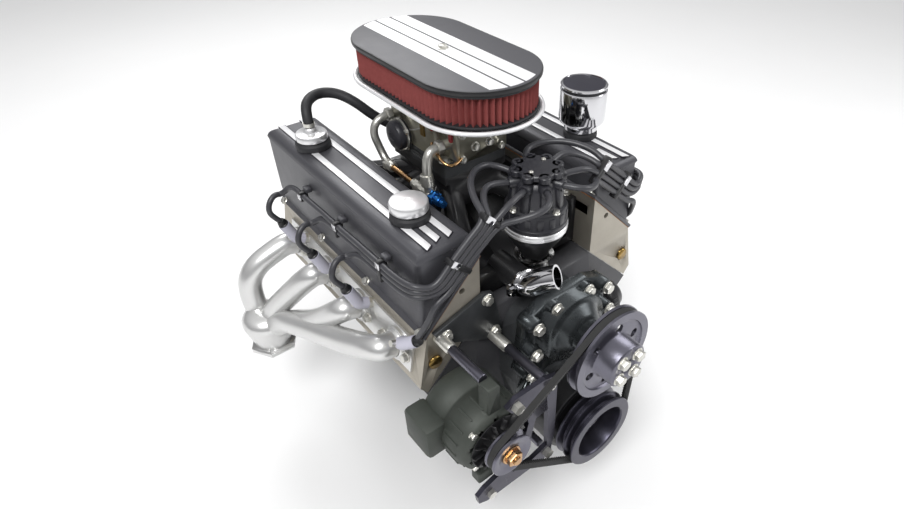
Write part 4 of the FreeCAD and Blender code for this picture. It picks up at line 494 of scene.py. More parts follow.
def air_cleaner_base():
    """Spun pan with a rolled rim, dropping to a round mouth over the carburettor."""
    low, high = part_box("air_cleaner_base")
    r, top, base = high.x / MM, high.z / MM, low.z / MM
    depth = top - base
    profile = [(r - 36, depth - 7.5), (r - 10, depth - 7.0), (r - 7.4, depth - 5.5), (r - 6.6, depth - 2.0)]
    profile += [(r - ROLL + ROLL * math.cos(math.radians(a)), depth - ROLL + ROLL * math.sin(math.radians(a)))
                for a in range(160, -171, -22)]
    profile += [(r - 7.6, depth - 9.4), (r - 22, depth - 10.4), (r - 32, depth - 12.5), (r - 37, 0.6),
                (PAN_MOUTH, 0), (PAN_MOUTH, 1.6), (r - 38.5, 2.2)]
    pan = oval(profile, base, LID_REACH)
    for vert in pan.verts:
        along = vert.co.y - at(0, AIR_CENTRE, 0).y
        if math.hypot(vert.co.x, abs(along) - LID_REACH * MM) < (PAN_MOUTH + 0.5) * MM:
            vert.co.y -= math.copysign(LID_REACH * MM, along)
    piece(pan, "cleaner_pan", brushed_bar, "air_cleaner_base")


# ---------------------------------------------------------------- valve covers
COVER_START = 4
COVER_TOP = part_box("valve_cover_right")[1].z / MM - 1.0
COVER_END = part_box("head_gaskets")[1].y / MM - FRONT - 10
RAIL = 317
RAIL_TOP = 323


def rail_point(side, height, across):
    """A point above the head's rail plane: height along the cylinder axis, across it outboard."""
    return side * (height + across) * HALF_RIGHT, (height - across) * HALF_RIGHT


def valve_covers():
    """Tall cast covers with soft shoulders, brushed stripes between dark pin lines, and rail screws."""
    for word, side in SIDES.items():
        node = "valve_cover_" + word
        inboard, outboard = rail_point(1, RAIL, -150), rail_point(1, RAIL, -13)
        outline = [inboard, (inboard[0] + 6, COVER_TOP), (217, COVER_TOP),
                   (outboard[0] + 3, outboard[1] + 34), outboard]
        shell = prism([(side * x, z) for x, z in outline], COVER_START, COVER_END)
        top = (COVER_TOP - 30) * MM
        bevelled(shell, 17, lambda edge: all(v.co.z > top for v in edge.verts), 8, 15)
        bevelled(shell, 9, lambda edge: any(v.co.z < top for v in edge.verts)
                 and abs(edge.verts[0].co.z - edge.verts[1].co.z) > 20 * MM, 5, 40)
        piece(shell, "cover_shell_" + word, powder_coat, node, sharp=50)
        corners = ((RAIL, -155), (RAIL_TOP, -155), (RAIL_TOP, -9), (RAIL, -9))
        rail = prism([rail_point(side, *corner) for corner in corners], COVER_START - 4, COVER_END + 4)
        bevelled(rail, 1.4)
        piece(rail, "cover_rail_" + word, powder_coat, node)
        cover_stripes(word, side, node)
        screws = []
        for share in (0.02, 0.34, 0.66, 0.98):
            d = COVER_START + (COVER_END - COVER_START) * share
            for across in (-12, -152):
                x, z = rail_point(side, RAIL_TOP, across)
                screws.append(bolt(at(x, d, z), (side, 0, 1), 10, 5))
        fitted(screws, "cover_screws_" + word, zinc, node)


def cover_stripes(word, side, node):
    """Three brushed bars with slanted front ends, each in a dark frame."""
    length = COVER_END - COVER_START
    inner, outer = 152.5, 191.5
    half_bar, half_frame, slope = 5.2, 6.6, 3.2
    bars, frames = [], []
    for x, d0, d1 in ((inner, 9, length - 10), (172, 12, 52), (outer, 6, length - 10)):
        slant = 4 * (outer - x) / (outer - inner)
        for half, low, high, store in ((half_bar, 0.2, 1.5, bars), (half_frame, -0.6, 0.9, frames)):
            grow = half - half_bar
            start, end = COVER_START + d0 + slant - grow, COVER_START + d1 + grow
            outline = [(side * (x - half), start + slope), (side * (x + half), start - slope),
                       (side * (x + half), end), (side * (x - half), end)]
            store.append(bevelled(prism(outline, COVER_TOP + low, COVER_TOP + high, "Z"), 0.5))
    fitted(bars, "cover_bars_" + word, brushed_bar, node)
    fitted(frames, "cover_pin_lines_" + word, pin_line, node)


FILLER = (-172, 85)
PCV = (-181, 360)
BREATHER = (188, 111)


def cover_fittings():
    """Filler cap, crankcase valve and breather in their rubber grommets."""
    base = COVER_TOP + 1.0
    collar = [(12.9, -10), (26, -1.5), (28.5, 0.0), (29, 3), (28, 8.5), (24, 11.5), (12.9, 12)]
    collars = []
    for x, d in (FILLER, PCV, BREATHER):
        collars.append(spun(collar, at(x, d, base), steps=64))
    piece(collars, "rubber_collars", black_rubber, "cover_grommets")
    cap = [(0, -6), (12.4, -6), (12.4, 12.6), (23, 12.6), (26.4, 14.2), (27.5, 16), (27.5, 25.5),
           (26.6, 27.6), (24.6, 28.6), (5, 28.8), (4.2, 28.2), (0, 28.2)]
    piece(turned(cap, at(*FILLER, base)), "filler_cap_turned", machined, "oil_filler_cap")
    valve = [(0, -6), (12.4, -6), (12.4, 12.6), (22, 12.6), (25, 14), (25.4, 16), (25.4, 21.5), (24.4, 23.6),
             (22.4, 24.4), (12, 24.8), (10, 26), (9.4, 31), (7.6, 33), (0, 33)]
    piece(turned(valve, at(*PCV, base)), "crankcase_valve_turned", machined, "crankcase_valve")
    can = [(0, -6), (12.4, -6), (12.4, 12.6), (27, 12.6), (28.5, 14), (29, 21), (32, 24), (37.2, 28),
           (39, 33), (39, 79), (38.6, 81.5), (37.4, 82.6), (0, 82.6)]
    piece(turned(can, at(*BREATHER, base)), "breather_can", chrome, "crankcase_breather")
    gauze = [(0, 82), (36, 82), (36, 88.5), (0, 88.5)]
    fitted(turned(gauze, at(*BREATHER, base)), "breather_gauze", black_rubber, "crankcase_breather")
    crown = [(0, 87.2), (38, 87.2), (38.8, 88.4), (38.6, 90.4), (37.4, 91.6), (35.6, 91.8), (35, 90.4),
             (0, 90.4)]
    fitted(turned(crown, at(*BREATHER, base)), "breather_crown", chrome, "crankcase_breather")
    disc = [(0, 90), (34.4, 90), (34.4, 91.2), (0, 91.6)]
    fitted(turned(disc, at(*BREATHER, base)), "breather_disc", dark_anodised, "crankcase_breather")


def pcv_hose():
    """Black rubber hose from the crankcase valve round behind the carburettor."""
    top = COVER_TOP + 35.2
    route = [(-181, 360, top), (-180, 366, top + 20), (-168, 384, top + 31), (-140, 400, top + 32),
             (-112, 390, top + 28), (-92, 366, top + 14), (-70, 354, top - 12), (-42, 342, top - 34),
             (-30, 326, top - 40), (-30, 309, top - 40)]
    cord("vent_hose", [at(*point) for point in route], 8.4, black_rubber, "pcv_hose")
    clamp = spun([(8.3, -3), (9.4, -3), (9.4, 3), (8.3, 3)], at(-181, 360.6, top + 4), steps=40)
    fitted(clamp, "hose_clamp", zinc, "pcv_hose")


# ---------------------------------------------------------------- ignition
DISTRIBUTOR = 14
TOWERS = 8
FIRST_TOWER = 22.5
TOWER_Z = 409
CAP_TOP = 422


def distributor():
    """Black cap of eight towers under a lobed retainer, on a stepped machined band, a bowl and a stem."""
    place = at(0, DISTRIBUTOR, 0)
    cap = [(0, 339.4), (47.6, 339.4), (48.6, 340.6), (48.6, 346), (47.4, 347.4), (46.8, 367), (45.4, 370.6),
           (41, 373), (36.6, 377), (34, 404), (32, 410), (28, 414), (0, 414)]
    parts = [turned(cap, place, steps=128)]
    for turn, x, y in round_about(TOWERS, FIRST_TOWER):
        pier = block(ORIGIN, (13, 15, 40), width=3.4)
        pier.transform(Matrix.Translation(at(x * 34.5, DISTRIBUTOR + y * 34.5, 391))
                       @ Matrix.Rotation(turn, 4, "Z") @ Matrix.Rotation(math.radians(-4), 4, "Y"))
        parts.append(pier)
        parts.append(turned([(0, 0), (9.2, 0), (9.2, 17), (8.2, 19), (5.4, 19), (5.4, 15), (0, 15)],
                            at(x * 24, DISTRIBUTOR + y * 24, TOWER_Z), (x, y, 0), 40))
    for turn, x, y in round_about(2 * TOWERS, FIRST_TOWER / 2, 46.6):
        panel = block(ORIGIN, (3, 10, 17), width=1.2)
        panel.transform(Matrix.Translation(at(x, DISTRIBUTOR + y, 357.5)) @ Matrix.Rotation(turn, 4, "Z"))
        parts.append(panel)
    piece(parts, "cap_moulding", moulded_black, "distributor_cap", sharp=40)
    plates = [turned([(0, 0), (29.5, 0), (31.5, 1), (31.5, 7), (30.2, 8.6), (0, 8.6)],
                     at(0, DISTRIBUTOR, CAP_TOP - 1.4))]
    lobe = [(4, 0), (8.4, 0), (9, 0.8), (9, 7.6), (8, 8.6), (4, 8.6)]
    for turn, x, y in round_about(TOWERS, FIRST_TOWER, 31):
        plates.append(spun(lobe, at(x, DISTRIBUTOR + y, CAP_TOP - 1.4), steps=40))
    fitted(plates, "wire_retainer", moulded_black, "distributor_cap")
    dome = [(0, 0), (3.6, 0), (3.6, 1.6), (2.4, 2.6), (0, 2.8)]
    screws = [turned(dome, at(x, DISTRIBUTOR + y, CAP_TOP + 7), steps=24) for x, y in ((-19, -8), (19, 8))]
    for x, y in ((43.6, 0), (-43.6, 0), (0, -43.6)):
        screws.append(bolt(at(x, DISTRIBUTOR + y, 371.6), UP, 8, 5))
    fitted(screws, "cap_screws", zinc, "distributor_cap")
    band = [(44.4, 327.6), (48.4, 327.6), (49.4, 328.6), (49.4, 332), (48.2, 332.8), (48.2, 334.2),
            (49.8, 335), (49.8, 338.6), (49, 339.4), (44.4, 339.4)]
    piece(spun(band, place, steps=128), "distributor_band", machined, "distributor_housing")
    bowl = [(6.6, 275), (21, 275), (24, 282), (31, 296), (41, 311), (46.6, 322), (47.8, 327.6), (44.4, 327.6),
            (43, 321), (37, 311), (27, 297), (19, 285), (6.6, 284.4)]
    piece(spun(bowl, place), "distributor_bowl", black_enamel, "distributor_housing")
    piece(slice_of("distributor_housing", 0, 275), "distributor_stem", steel, "distributor_housing")


WIRE_PITCH = 9.8
WIRE_RADIUS = 4.75
FAN = (0.70, 0.71)
WALL_X = 232
WALL_SEPARATORS = ((73, 3), (200, 2), (318, 1))
FAN_SEPARATORS = ((115, -14, 406), (172, -11, 357))
PLUG_TILT = math.radians(26)
PLUG_AHEAD = 28


def plug_place(side, index, out):
    """A point so far out along a spark plug from its seat."""
    return at(side * (221 + math.cos(PLUG_TILT) * out), port_behind(side, index) - PLUG_AHEAD,
              203 + math.sin(PLUG_TILT) * out)


def fan_place(side, station, wires, ahead=0):
    """A place on the fanned ribbon, so many wires down from its top one."""
    x, d, z = station
    return at(side * (x - FAN[0] * wires * WIRE_PITCH), d - ahead, z - FAN[1] * wires * WIRE_PITCH)


def wall_run_z(index, d):
    """Height of a wire on the cover's outer wall; the ribbon falls a little to the rear."""
    return 308.2 + (index - 1) * WIRE_PITCH - 0.04 * (d - 200)


CAP_EXITS = {
    0: [(26, -45, 410), (48, -50, 404), (73, -36, 396)],
    1: [(60, -10, 412), (80, -14, 407)],
    2: [(62, 38, 414), (84, 32, 414), (101, 8, 409)],
    3: [(28, 78, 415), (60, 78, 420), (92, 52, 423), (112, 16, 418)],
}


def wire_route(side, index):
    """One wire: out of its tower, across the cover's front end, along its outer wall, to its boot."""
    boot_d = port_behind(side, index) - PLUG_AHEAD
    end = (260, boot_d + 1, 254) if index else (228, boot_d - 29, 232)
    turn = math.radians(45 * index - 90 + FIRST_TOWER)
    fan_x, fan_z = FAN[0] * WIRE_PITCH * (3 - index), FAN[1] * WIRE_PITCH * (3 - index)
    route = [(40 * math.cos(turn), DISTRIBUTOR + 40 * math.sin(turn), TOWER_Z)] + CAP_EXITS[index]
    route += [(115 - fan_x, -14, 406 - fan_z), (144 - fan_x, -12, 381.5 - fan_z),
              (172 - fan_x, -11, 357 - fan_z), (203 - fan_x, -12, 329 - fan_z)]
    if index == 0:
        shift = port_behind(side, 0) - FIRST_PORT
        route += [(203, -12, 301), (213, -9 + shift / 3, 276), (222, -2 + shift / 2, 254)]
    else:
        route.append((226.5, -3, wall_run_z(index, 0) + 2))
        last = boot_d - 6
        steps = max(1, round((last - 24) / 58))
        for k in range(steps + 1):
            d = 24 + (last - 24) * k / steps
            route.append((WALL_X + 1.2 * (k % 2), d, wall_run_z(index, d) + 0.8 * (k % 2)))
        route += [(245, boot_d + 11, 300), (259, boot_d + 8, 306), (272, boot_d + 5, 296),
                  (277, boot_d + 3, 280), (268, boot_d + 2, 264)]
    route.append(end)
    return [at(side * x, d, z) for x, d, z in route]


def plug_wires():
    """Eight silicone wires, each into a lilac plug sleeve with a dark grip."""
    grip = [(0, 0), (8.4, 0), (8.8, 0.8), (8.8, 2.6), (7.4, 3.6), (7.4, 5), (8, 6), (7.2, 8), (6, 11),
            (0, 12)]
    for word, side in SIDES.items():
        for index in range(4):
            mark = "_%s_%d" % (word, index + 1)
            cord("plug_wire" + mark, wire_route(side, index), WIRE_RADIUS, silicone, "ignition_wires_" + word)
            seat = plug_place(side, index, 12)
            d = seat.y / MM - FRONT
            tip, lean = at(side * 259, d, 250), (side * 0.4, 0, 0.92)
            middle = [plug_place(side, index, 28), at(side * 249, d, 226), at(side * 255, d, 240)]
            if index == 0:
                tip, lean = at(side * 229, d - 28, 230), (side * -0.3, -0.8, 0.5)
                middle = [at(side * 241, d - 5, 214), at(side * 237, d - 16, 221)]
            bend = [seat, plug_place(side, index, 20)] + middle + [tip]
            cord("plug_sleeve" + mark, bend, 9.6, lilac_boot, "spark_plug_boots", sides=10)
            piece(turned(grip, tip - Vector(lean) * 0.5 * MM, lean, 40), "sleeve_grip" + mark, nylon,
                  "spark_plug_boots")


def wire_separators():
    """Black separators along the ribbon, with chrome bands, and with tabs where the cover carries them."""
    for word, side in SIDES.items():
        bars, tabs, bands = [], [], []
        for d, count in WALL_SEPARATORS:
            top = wall_run_z(3, d)
            bars.append(block(at(side * WALL_X, d, top - (count - 1) * WIRE_PITCH / 2),
                              (15, 9, count * WIRE_PITCH + 7), width=2))
            tabs.append(block(at(side * (WALL_X - 9), d, top + 9), (11, 15, 8), width=2))
            bands.append(block(at(side * (WALL_X + 6.6), d, top), (2.4, 10.4, 11)))
        for station in FAN_SEPARATORS:
            lean = (side * FAN[0], 0, FAN[1])
            bars.append(block(fan_place(side, station, 1.5), (9, 13.5, 48), lean, 2.2))
            bands.append(block(fan_place(side, station, 0.4, 7), (10.4, 1.6, 16), lean, 0.6))
        piece(bars, "wire_separators_" + word, nylon, "wire_looms")
        fitted(tabs, "separator_tabs_" + word, powder_coat, "wire_looms")
        fitted(bands, "separator_bands_" + word, chrome, "wire_looms")


# ---------------------------------------------------------------- belt drive
BELT_PLANE = centre_of("drive_belt")[1]
RIM_HALF = 10.7
GROOVE_PITCH = 17


def pulley_rim(radius, grooves):
    """The V-grooved rim of a pulley, from its front edge back; heights run ahead of the belt plane."""
    points = [(radius - 1.2, RIM_HALF), (radius, RIM_HALF - 1.2)]
    for index in range(grooves):
        middle = -GROOVE_PITCH * index
        points += [(radius, middle + 6.8), (radius - 0.8, middle + 6.0), (radius - 11, middle + 3.0),
                   (radius - 11, middle - 3.0), (radius - 0.8, middle - 6.0), (radius, middle - 6.8)]
    rear = -GROOVE_PITCH * (grooves - 1) - RIM_HALF
    return points + [(radius, rear + 1.2), (radius - 1.2, rear)]


def crank_pulley():
    """Deep two-groove crank pulley with its bolts, on the damper."""
    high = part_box("crank_pulley")[1]
    radius = high.x / MM
    middle = at(0, BELT_PLANE, 0)
    rear = (high.y - middle.y) / MM
    step = -GROOVE_PITCH - RIM_HALF
    cup = [(radius - 13, step), (radius - 19, step - 8), (radius - 21, 2 - rear + 0.6), (20.2, 2 - rear),
           (20.2, 10 - rear), (radius - 27, 10 - rear), (radius - 20, step + 2),
           (radius - 19.5, RIM_HALF - 4), (radius - 18.5, RIM_HALF - 1.2), (radius - 17, RIM_HALF)]
    piece(spun(pulley_rim(radius, 2) + cup, middle, FORWARD, 128), "crank_pulley_turned", dark_anodised,
          "crank_pulley")
    bolts = [bolt(at(x, BELT_PLANE + rear - 10, z), FORWARD, 14, 8) for _, x, z in round_about(4, 45, 31)]
    nose = front_of("crankshaft")
    bolts.append(turned([(0, 0), (18, 0), (19, 1), (19, 3), (18, 4), (0, 4)], at(0, nose, 0), FORWARD, 64))
    bolts.append(bolt(at(0, nose - 4, 0), FORWARD, 24, 13, washer=False))
    piece(bolts, "crank_pulley_bolts", zinc, "crankshaft_bolt")
    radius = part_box("harmonic_damper")[1].x / MM
    ring = [(30, -1), (radius - 10, -1), (radius - 10, -3), (radius - 7, -3), (radius - 7, -1),
            (radius - 1.5, -1), (radius, -2.5), (radius, -54), (radius - 1.5, -55.5), (30, -55.5)]
    piece(spun(ring, at(0, front_of("harmonic_damper") - 1, 0), FORWARD, 128), "damper_ring", black_enamel,
          "harmonic_damper")


def water_pump():
    """The pump's pulley as modelled, with large zinc bolts on it and on the pump."""
    finished_copy("water_pump_pulley", anodised, "pump_pulley_turned", sharp=28)
    height = centre_of("water_pump_pulley")[2]
    fitted([bolt(at(x, BELT_PLANE - RIM_HALF - 27.9, height + z), FORWARD, 15.2, 9.6)
            for _, x, z in round_about(4, 40, 23)], "pump_pulley_bolts", zinc, "water_pump_pulley")
    cover = front_of("timing_cover")
    fitted([bolt(at(x, cover - length, z), FORWARD, 15.2, 7.9) for x, z, length in
            ((-84, 128, 30), (84, 128, 30), (-80, 176, 34), (80, 178, 34), (-74, 224, 30), (74, 224, 30),
             (-34, 238, 26), (34, 238, 26))], "pump_bolts", zinc, "water_pump_housing")


def alternator_pulley():
    """The alternator's one-groove pulley with its yellow nut."""
    x, _, z, radius = centre_of("alternator_pulley")
    hub = [(radius - 13, -RIM_HALF), (14, -RIM_HALF - 2), (8.7, -RIM_HALF - 2), (8.7, RIM_HALF - 4),
           (16, RIM_HALF - 4), (18, RIM_HALF - 3), (radius - 12, RIM_HALF - 2), (radius - 9, RIM_HALF)]
    piece(spun(pulley_rim(radius, 1) + hub, at(x, BELT_PLANE, z), FORWARD), "alternator_sheave", anodised,
          "alternator_pulley")
    nut = bolt(at(x, BELT_PLANE - RIM_HALF + 3, z), FORWARD, 22, 11)
    stub = turned([(0, 0), (7, 0), (7, 3), (6, 4), (0, 4)], at(x, BELT_PLANE - RIM_HALF - 8, z), FORWARD, 32)
    fitted([nut, stub], "sheave_nut", yellow_zinc, "alternator_pulley")


def belt_circles():
    """The three pulley circles that the belt runs round, at its outer face."""
    places = [centre_of(node) for node in ("crank_pulley", "water_pump_pulley", "alternator_pulley")]
    return [(x, z, radius - 1.2) for x, _, z, radius in places]


def belt_walk(circles, step):
    """Points and outward directions round the belt, a step apart."""
    arcs = []
    for (x1, z1, r1), (x2, z2, r2) in zip(circles, circles[1:] + circles[:1]):
        heading = math.atan2(z2 - z1, x2 - x1)
        arcs.append(heading - math.acos((r1 - r2) / math.hypot(x2 - x1, z2 - z1)))
    walk = []
    for k, (x, z, r) in enumerate(circles):
        start, end = arcs[k - 1], arcs[k]
        while end < start:
            end += 2 * math.pi
        count = max(2, int((end - start) * r / step))
        walk += [(x, z, r, start + (end - start) * j / count) for j in range(count + 1)]
        nx, nz, nr = circles[(k + 1) % 3]
        span = math.hypot(nx - x, nz - z)
        runs = int(span / step)
        walk += [(x + (nx - x) * j / runs, z + (nz - z) * j / runs, r + (nr - r) * j / runs, end)
                 for j in range(1, runs)]
    return walk


def drive_belt():
    """Cogged V-belt: a smooth back, sloping flanks and cogs on its inner face."""
    finished_copy("drive_belt", belt_rubber, "belt_body", sharp=40)
    cogs = []
    for x, z, r, turn in belt_walk(belt_circles(), 5.6):
        dx, dz = math.cos(turn), math.sin(turn)
        cog = block(ORIGIN, (2.6, 6.4, 2.6), width=0.5)
        inward = r - 8.6
        cog.transform(turned_to((dx, 0, dz), at(x + dx * inward, BELT_PLANE, z + dz * inward)))
        cogs.append(cog)
    fitted(cogs, "belt_cogs", belt_rubber, "drive_belt")


CASE_RADIUS = 62


def alternator_case(x, z):
    """The alternator's ribbed case, its lugs rounded and its regulator box moulded afresh."""
    axle = at(x, 0, z)
    case = cad_mesh("alternator_housing")
    outside = []
    for patch in case.faces:
        middle = patch.calc_center_median() - axle
        if middle.x < -50 * MM and math.hypot(middle.x, middle.z) > (CASE_RADIUS + 0.6) * MM:
            outside.append(patch)
    bmesh.ops.delete(case, geom=outside, context="FACES")
    bevelled(case, 3.4, lambda edge: all(math.hypot(v.co.x - axle.x, v.co.z - axle.z) > (CASE_RADIUS + 4) * MM
                                         for v in edge.verts), 3, 40)
    piece(case, "alternator_case", alternator_cast, "alternator_housing")
    fitted(block(at(x - 67, -53, z + 3), (38, 62.8, 62.8), width=8), "regulator_box", alternator_cast,
           "alternator_housing")


def alternator():
    """Vented alternator with a fan behind its pulley, through bolts and spacers."""
    x, _, z, _ = centre_of("alternator_pulley")
    alternator_case(x, z)
    face = front_of("alternator_housing")
    blades = []
    for turn, dx, dz in round_about(14, 0, 36):
        blade = block(ORIGIN, (20, 9, 1.4), width=0.4)
        blade.transform(Matrix.Translation(at(x + dx, face - 6, z + dz)) @ Matrix.Rotation(-turn, 4, "Y")
                        @ Matrix.Rotation(0.5, 4, "X"))
        blades.append(blade)
    blades.append(spun([(9, 0), (46, 0), (47, 1), (47, 2), (9, 2.2)], at(x, face - 1.4, z), FORWARD))
    fitted(blades, "cooling_fan", black_enamel, "alternator_pulley")
    fitted([bolt(at(x + dx, face + 6, z + dz), FORWARD, 9, 6) for _, dx, dz in round_about(4, 45, 53)],
           "alternator_bolts", zinc, "alternator_housing")
    ribs = []
    for turn, dx, dz in round_about(18, 0, CASE_RADIUS - 0.4):
        rib = block(ORIGIN, (3.4, 30, 3))
        rib.transform(Matrix.Translation(at(x + dx, face + 30, z + dz)) @ Matrix.Rotation(-turn, 4, "Y"))
        ribs.append(rib)
    fitted(ribs, "case_ribs", alternator_cast, "alternator_housing")
    for px, pz, r, end, split in ((-103, 176, 9.5, -127, -46), (-101, 14, 8.5, -127, -30),
                                  (-197, 226, 9.5, -105, -34)):
        rear = [(0, 0), (r - 1, 0), (r, 1), (r, -split - 3), (r - 1.4, -split), (0, -split)]
        front = [(0, -split), (r - 2.2, -split), (r - 1.6, -split + 1), (r - 1.6, -end - 1),
                 (r - 2.4, -end), (0, -end)]
        for name, profile, made_of in (("spacer_rear", rear, zinc), ("spacer_front", front, anodised)):
            piece(turned(profile, at(px, 0, pz), FORWARD, 48), "%s_%d_%d" % (name, -px, pz), made_of,
                  "bracket_standoffs")


# ---------------------------------------------------------------- exhaust
PORT_TILT = math.atan2(19.5, 93)
PORT_X, PORT_Z, PORT_REACH = 225.75, 182.5, 38
COLLECTOR = (332, 381)
STRIP_PAST_PORT = 38


def header_routes(side):
    """Centre lines of the four primaries, from the flange to the collector."""
    x_end = COLLECTOR[0]
    out_x, out_z = math.cos(PORT_TILT), math.sin(PORT_TILT)
    shapes = [
        [(278, 140, 156), (298, 240, 122), (322, 340, 86), (x_end, 374, 44)],
        [(286, 244, 128), (314, 330, 84), (x_end, 372, 40)],
        [(304, 344, 118), (326, 370, 76), (x_end, 380, 36)],
        [(330, 410, 158), (341, 412, 90), (x_end + 3, 394, 38)],
    ]
    stagger = port_behind(side, 0) - FIRST_PORT
    for index, shape in enumerate(shapes):
        port = port_behind(side, index)
        route = [(PORT_X + out_x * reach, port + (reach > 1), PORT_Z + out_z * reach)
                 for reach in (2, 22, PORT_REACH)]
        route += [(x, d + stagger * max(0, 1 - (k + 1) / 4), z) for k, (x, d, z) in enumerate(shape)]
        yield index, [at(side * x, d, z) for x, d, z in route]


def headers():
    """Silver tubular headers: bolted port flange, four swept primaries, collector and outlet flange."""
    port_boss = [(0, 0), (27, 0), (27.6, 0.8), (27.6, 7.6), (26.8, 8.4), (0, 8.4)]
    weld_bead = [(20.3, 8), (24.6, 8), (23.4, 10.6), (21, 12.4), (20.3, 12.4)]
    for word, side in SIDES.items():
        node = "exhaust_header_" + word
        axis = Vector((side * math.cos(PORT_TILT), 0, math.sin(PORT_TILT)))
        for index, route in header_routes(side):
            cord("primary_%s_%d" % (word, index + 1), route, 20.5, ceramic, node, resolution=12, sides=10)
        x, d = COLLECTOR
        cone = [(29, 0), (33, 0), (33.5, 6), (35, 16), (40, 34), (44, 50), (45, 58), (44, 66), (40, 73),
                (33, 79), (22, 83), (0, 85), (0, 60), (26, 50)]
        piece(spun(cone, at(side * x, d, 3)), "collector_" + word, ceramic, node)
        piece(slice_of(node, -1, 11.5), "outlet_flange_" + word, ceramic, node)
        tabs, bolts = [], []
        for index in range(4):
            port = port_behind(side, index)
            place = at(side * PORT_X, port, PORT_Z) + axis * 1.5 * MM
            tabs.append(turned(port_boss, place, axis, 64))
            tabs.append(spun(weld_bead, place, axis, 64))
            for shift in (-33, 33):
                spot = at(side * PORT_X, port + shift, PORT_Z - 3)
                bolts.append(bolt(spot + axis * 10.1 * MM, axis, 12, 8))
        corners = ((2.0, 150), (10.2, 151.7), (-2.4, 211.8), (-10.6, 210))
        outline = [(side * (PORT_X + out), z) for out, z in corners]
        strip = prism(outline, port_behind(side, 0) - STRIP_PAST_PORT, port_behind(side, 3) + STRIP_PAST_PORT)
        bevelled(strip, 1.0)
        tabs.append(strip)
        piece(tabs, "port_flange_" + word, ceramic, node)
        fitted(bolts, "header_bolts_" + word, zinc, node)


# ---------------------------------------------------------------- fuel and carburettor
def fuel_system():
    """Fuel log with hose-end fittings, a bronze tube and a blue union."""
    line_x, inlet_z, base_z = -92, 420, 348
    front_d, rear_d = AIR_CENTRE - 72.2, AIR_CENTRE + 72.2
    tee_d = 158
    rear = [(-64, rear_d, inlet_z), (-84, rear_d, inlet_z), (-99, rear_d + 2, inlet_z - 20),
            (-93, rear_d - 6, inlet_z - 52), (line_x, rear_d - 22, base_z + 2), (line_x, rear_d - 42, base_z)]
    cord("rear_elbow", [at(*p) for p in rear], 6.6, zinc, "fuel_line")
    tube = [(line_x, rear_d - 36, base_z), (-92.4, 220, base_z + 0.4), (line_x, tee_d + 8, base_z)]
    cord("bronze_tube", [at(*p) for p in tube], 5.0, yellow_zinc, "fuel_line")
    branch = [(line_x, tee_d, base_z), (-94, tee_d + 0.5, base_z + 28), (-90, front_d - 1, inlet_z - 10),
              (-80, front_d, inlet_z), (-64, front_d, inlet_z)]
    cord("front_branch", [at(*p) for p in branch], 7.6, zinc, "fuel_line")
    collars = []
    for d, r, length in ((rear_d - 42, 8.6, 14), (tee_d + 20, 8.6, 16), (tee_d + 38, 7.6, 8),
                         (tee_d - 6, 9.4, 24)):
        collars.append(turned([(0, 0), (r - 1, 0), (r, 1), (r, length - 1), (r - 1, length), (0, length)],
                              at(line_x, d, base_z), (0, 1, 0), 36))
    for d, across in ((rear_d - 30, 18), (tee_d + 30, 17), (tee_d + 12, 18)):
        collars.append(bolt(at(line_x, d, base_z), (0, 1, 0), across, 9, washer=False))
    for place_d in (front_d, rear_d):
        collars.append(bolt(at(-62, place_d, inlet_z), (-1, 0, 0), 19, 9, washer=False))
    collars.append(spun([(7, -10), (10, -9), (10.6, 0), (10, 9), (7, 10)], at(-94, tee_d + 1, base_z + 26),
                        (0, 0.1, 1), 40))
    piece(collars, "line_fittings", zinc, "fuel_line")
    blue = [bolt(at(line_x, tee_d - 8, base_z), FORWARD, 20, 10, washer=False),
            turned([(0, 9), (8.4, 9), (8.8, 10), (8.8, 20), (7.6, 22), (6, 22), (6, 30), (0, 30)],
                   at(line_x, tee_d - 8, base_z), FORWARD, 40)]
    fitted(blue, "inlet_union", blue_anodised, "fuel_line")


FOOT_TOP = 388


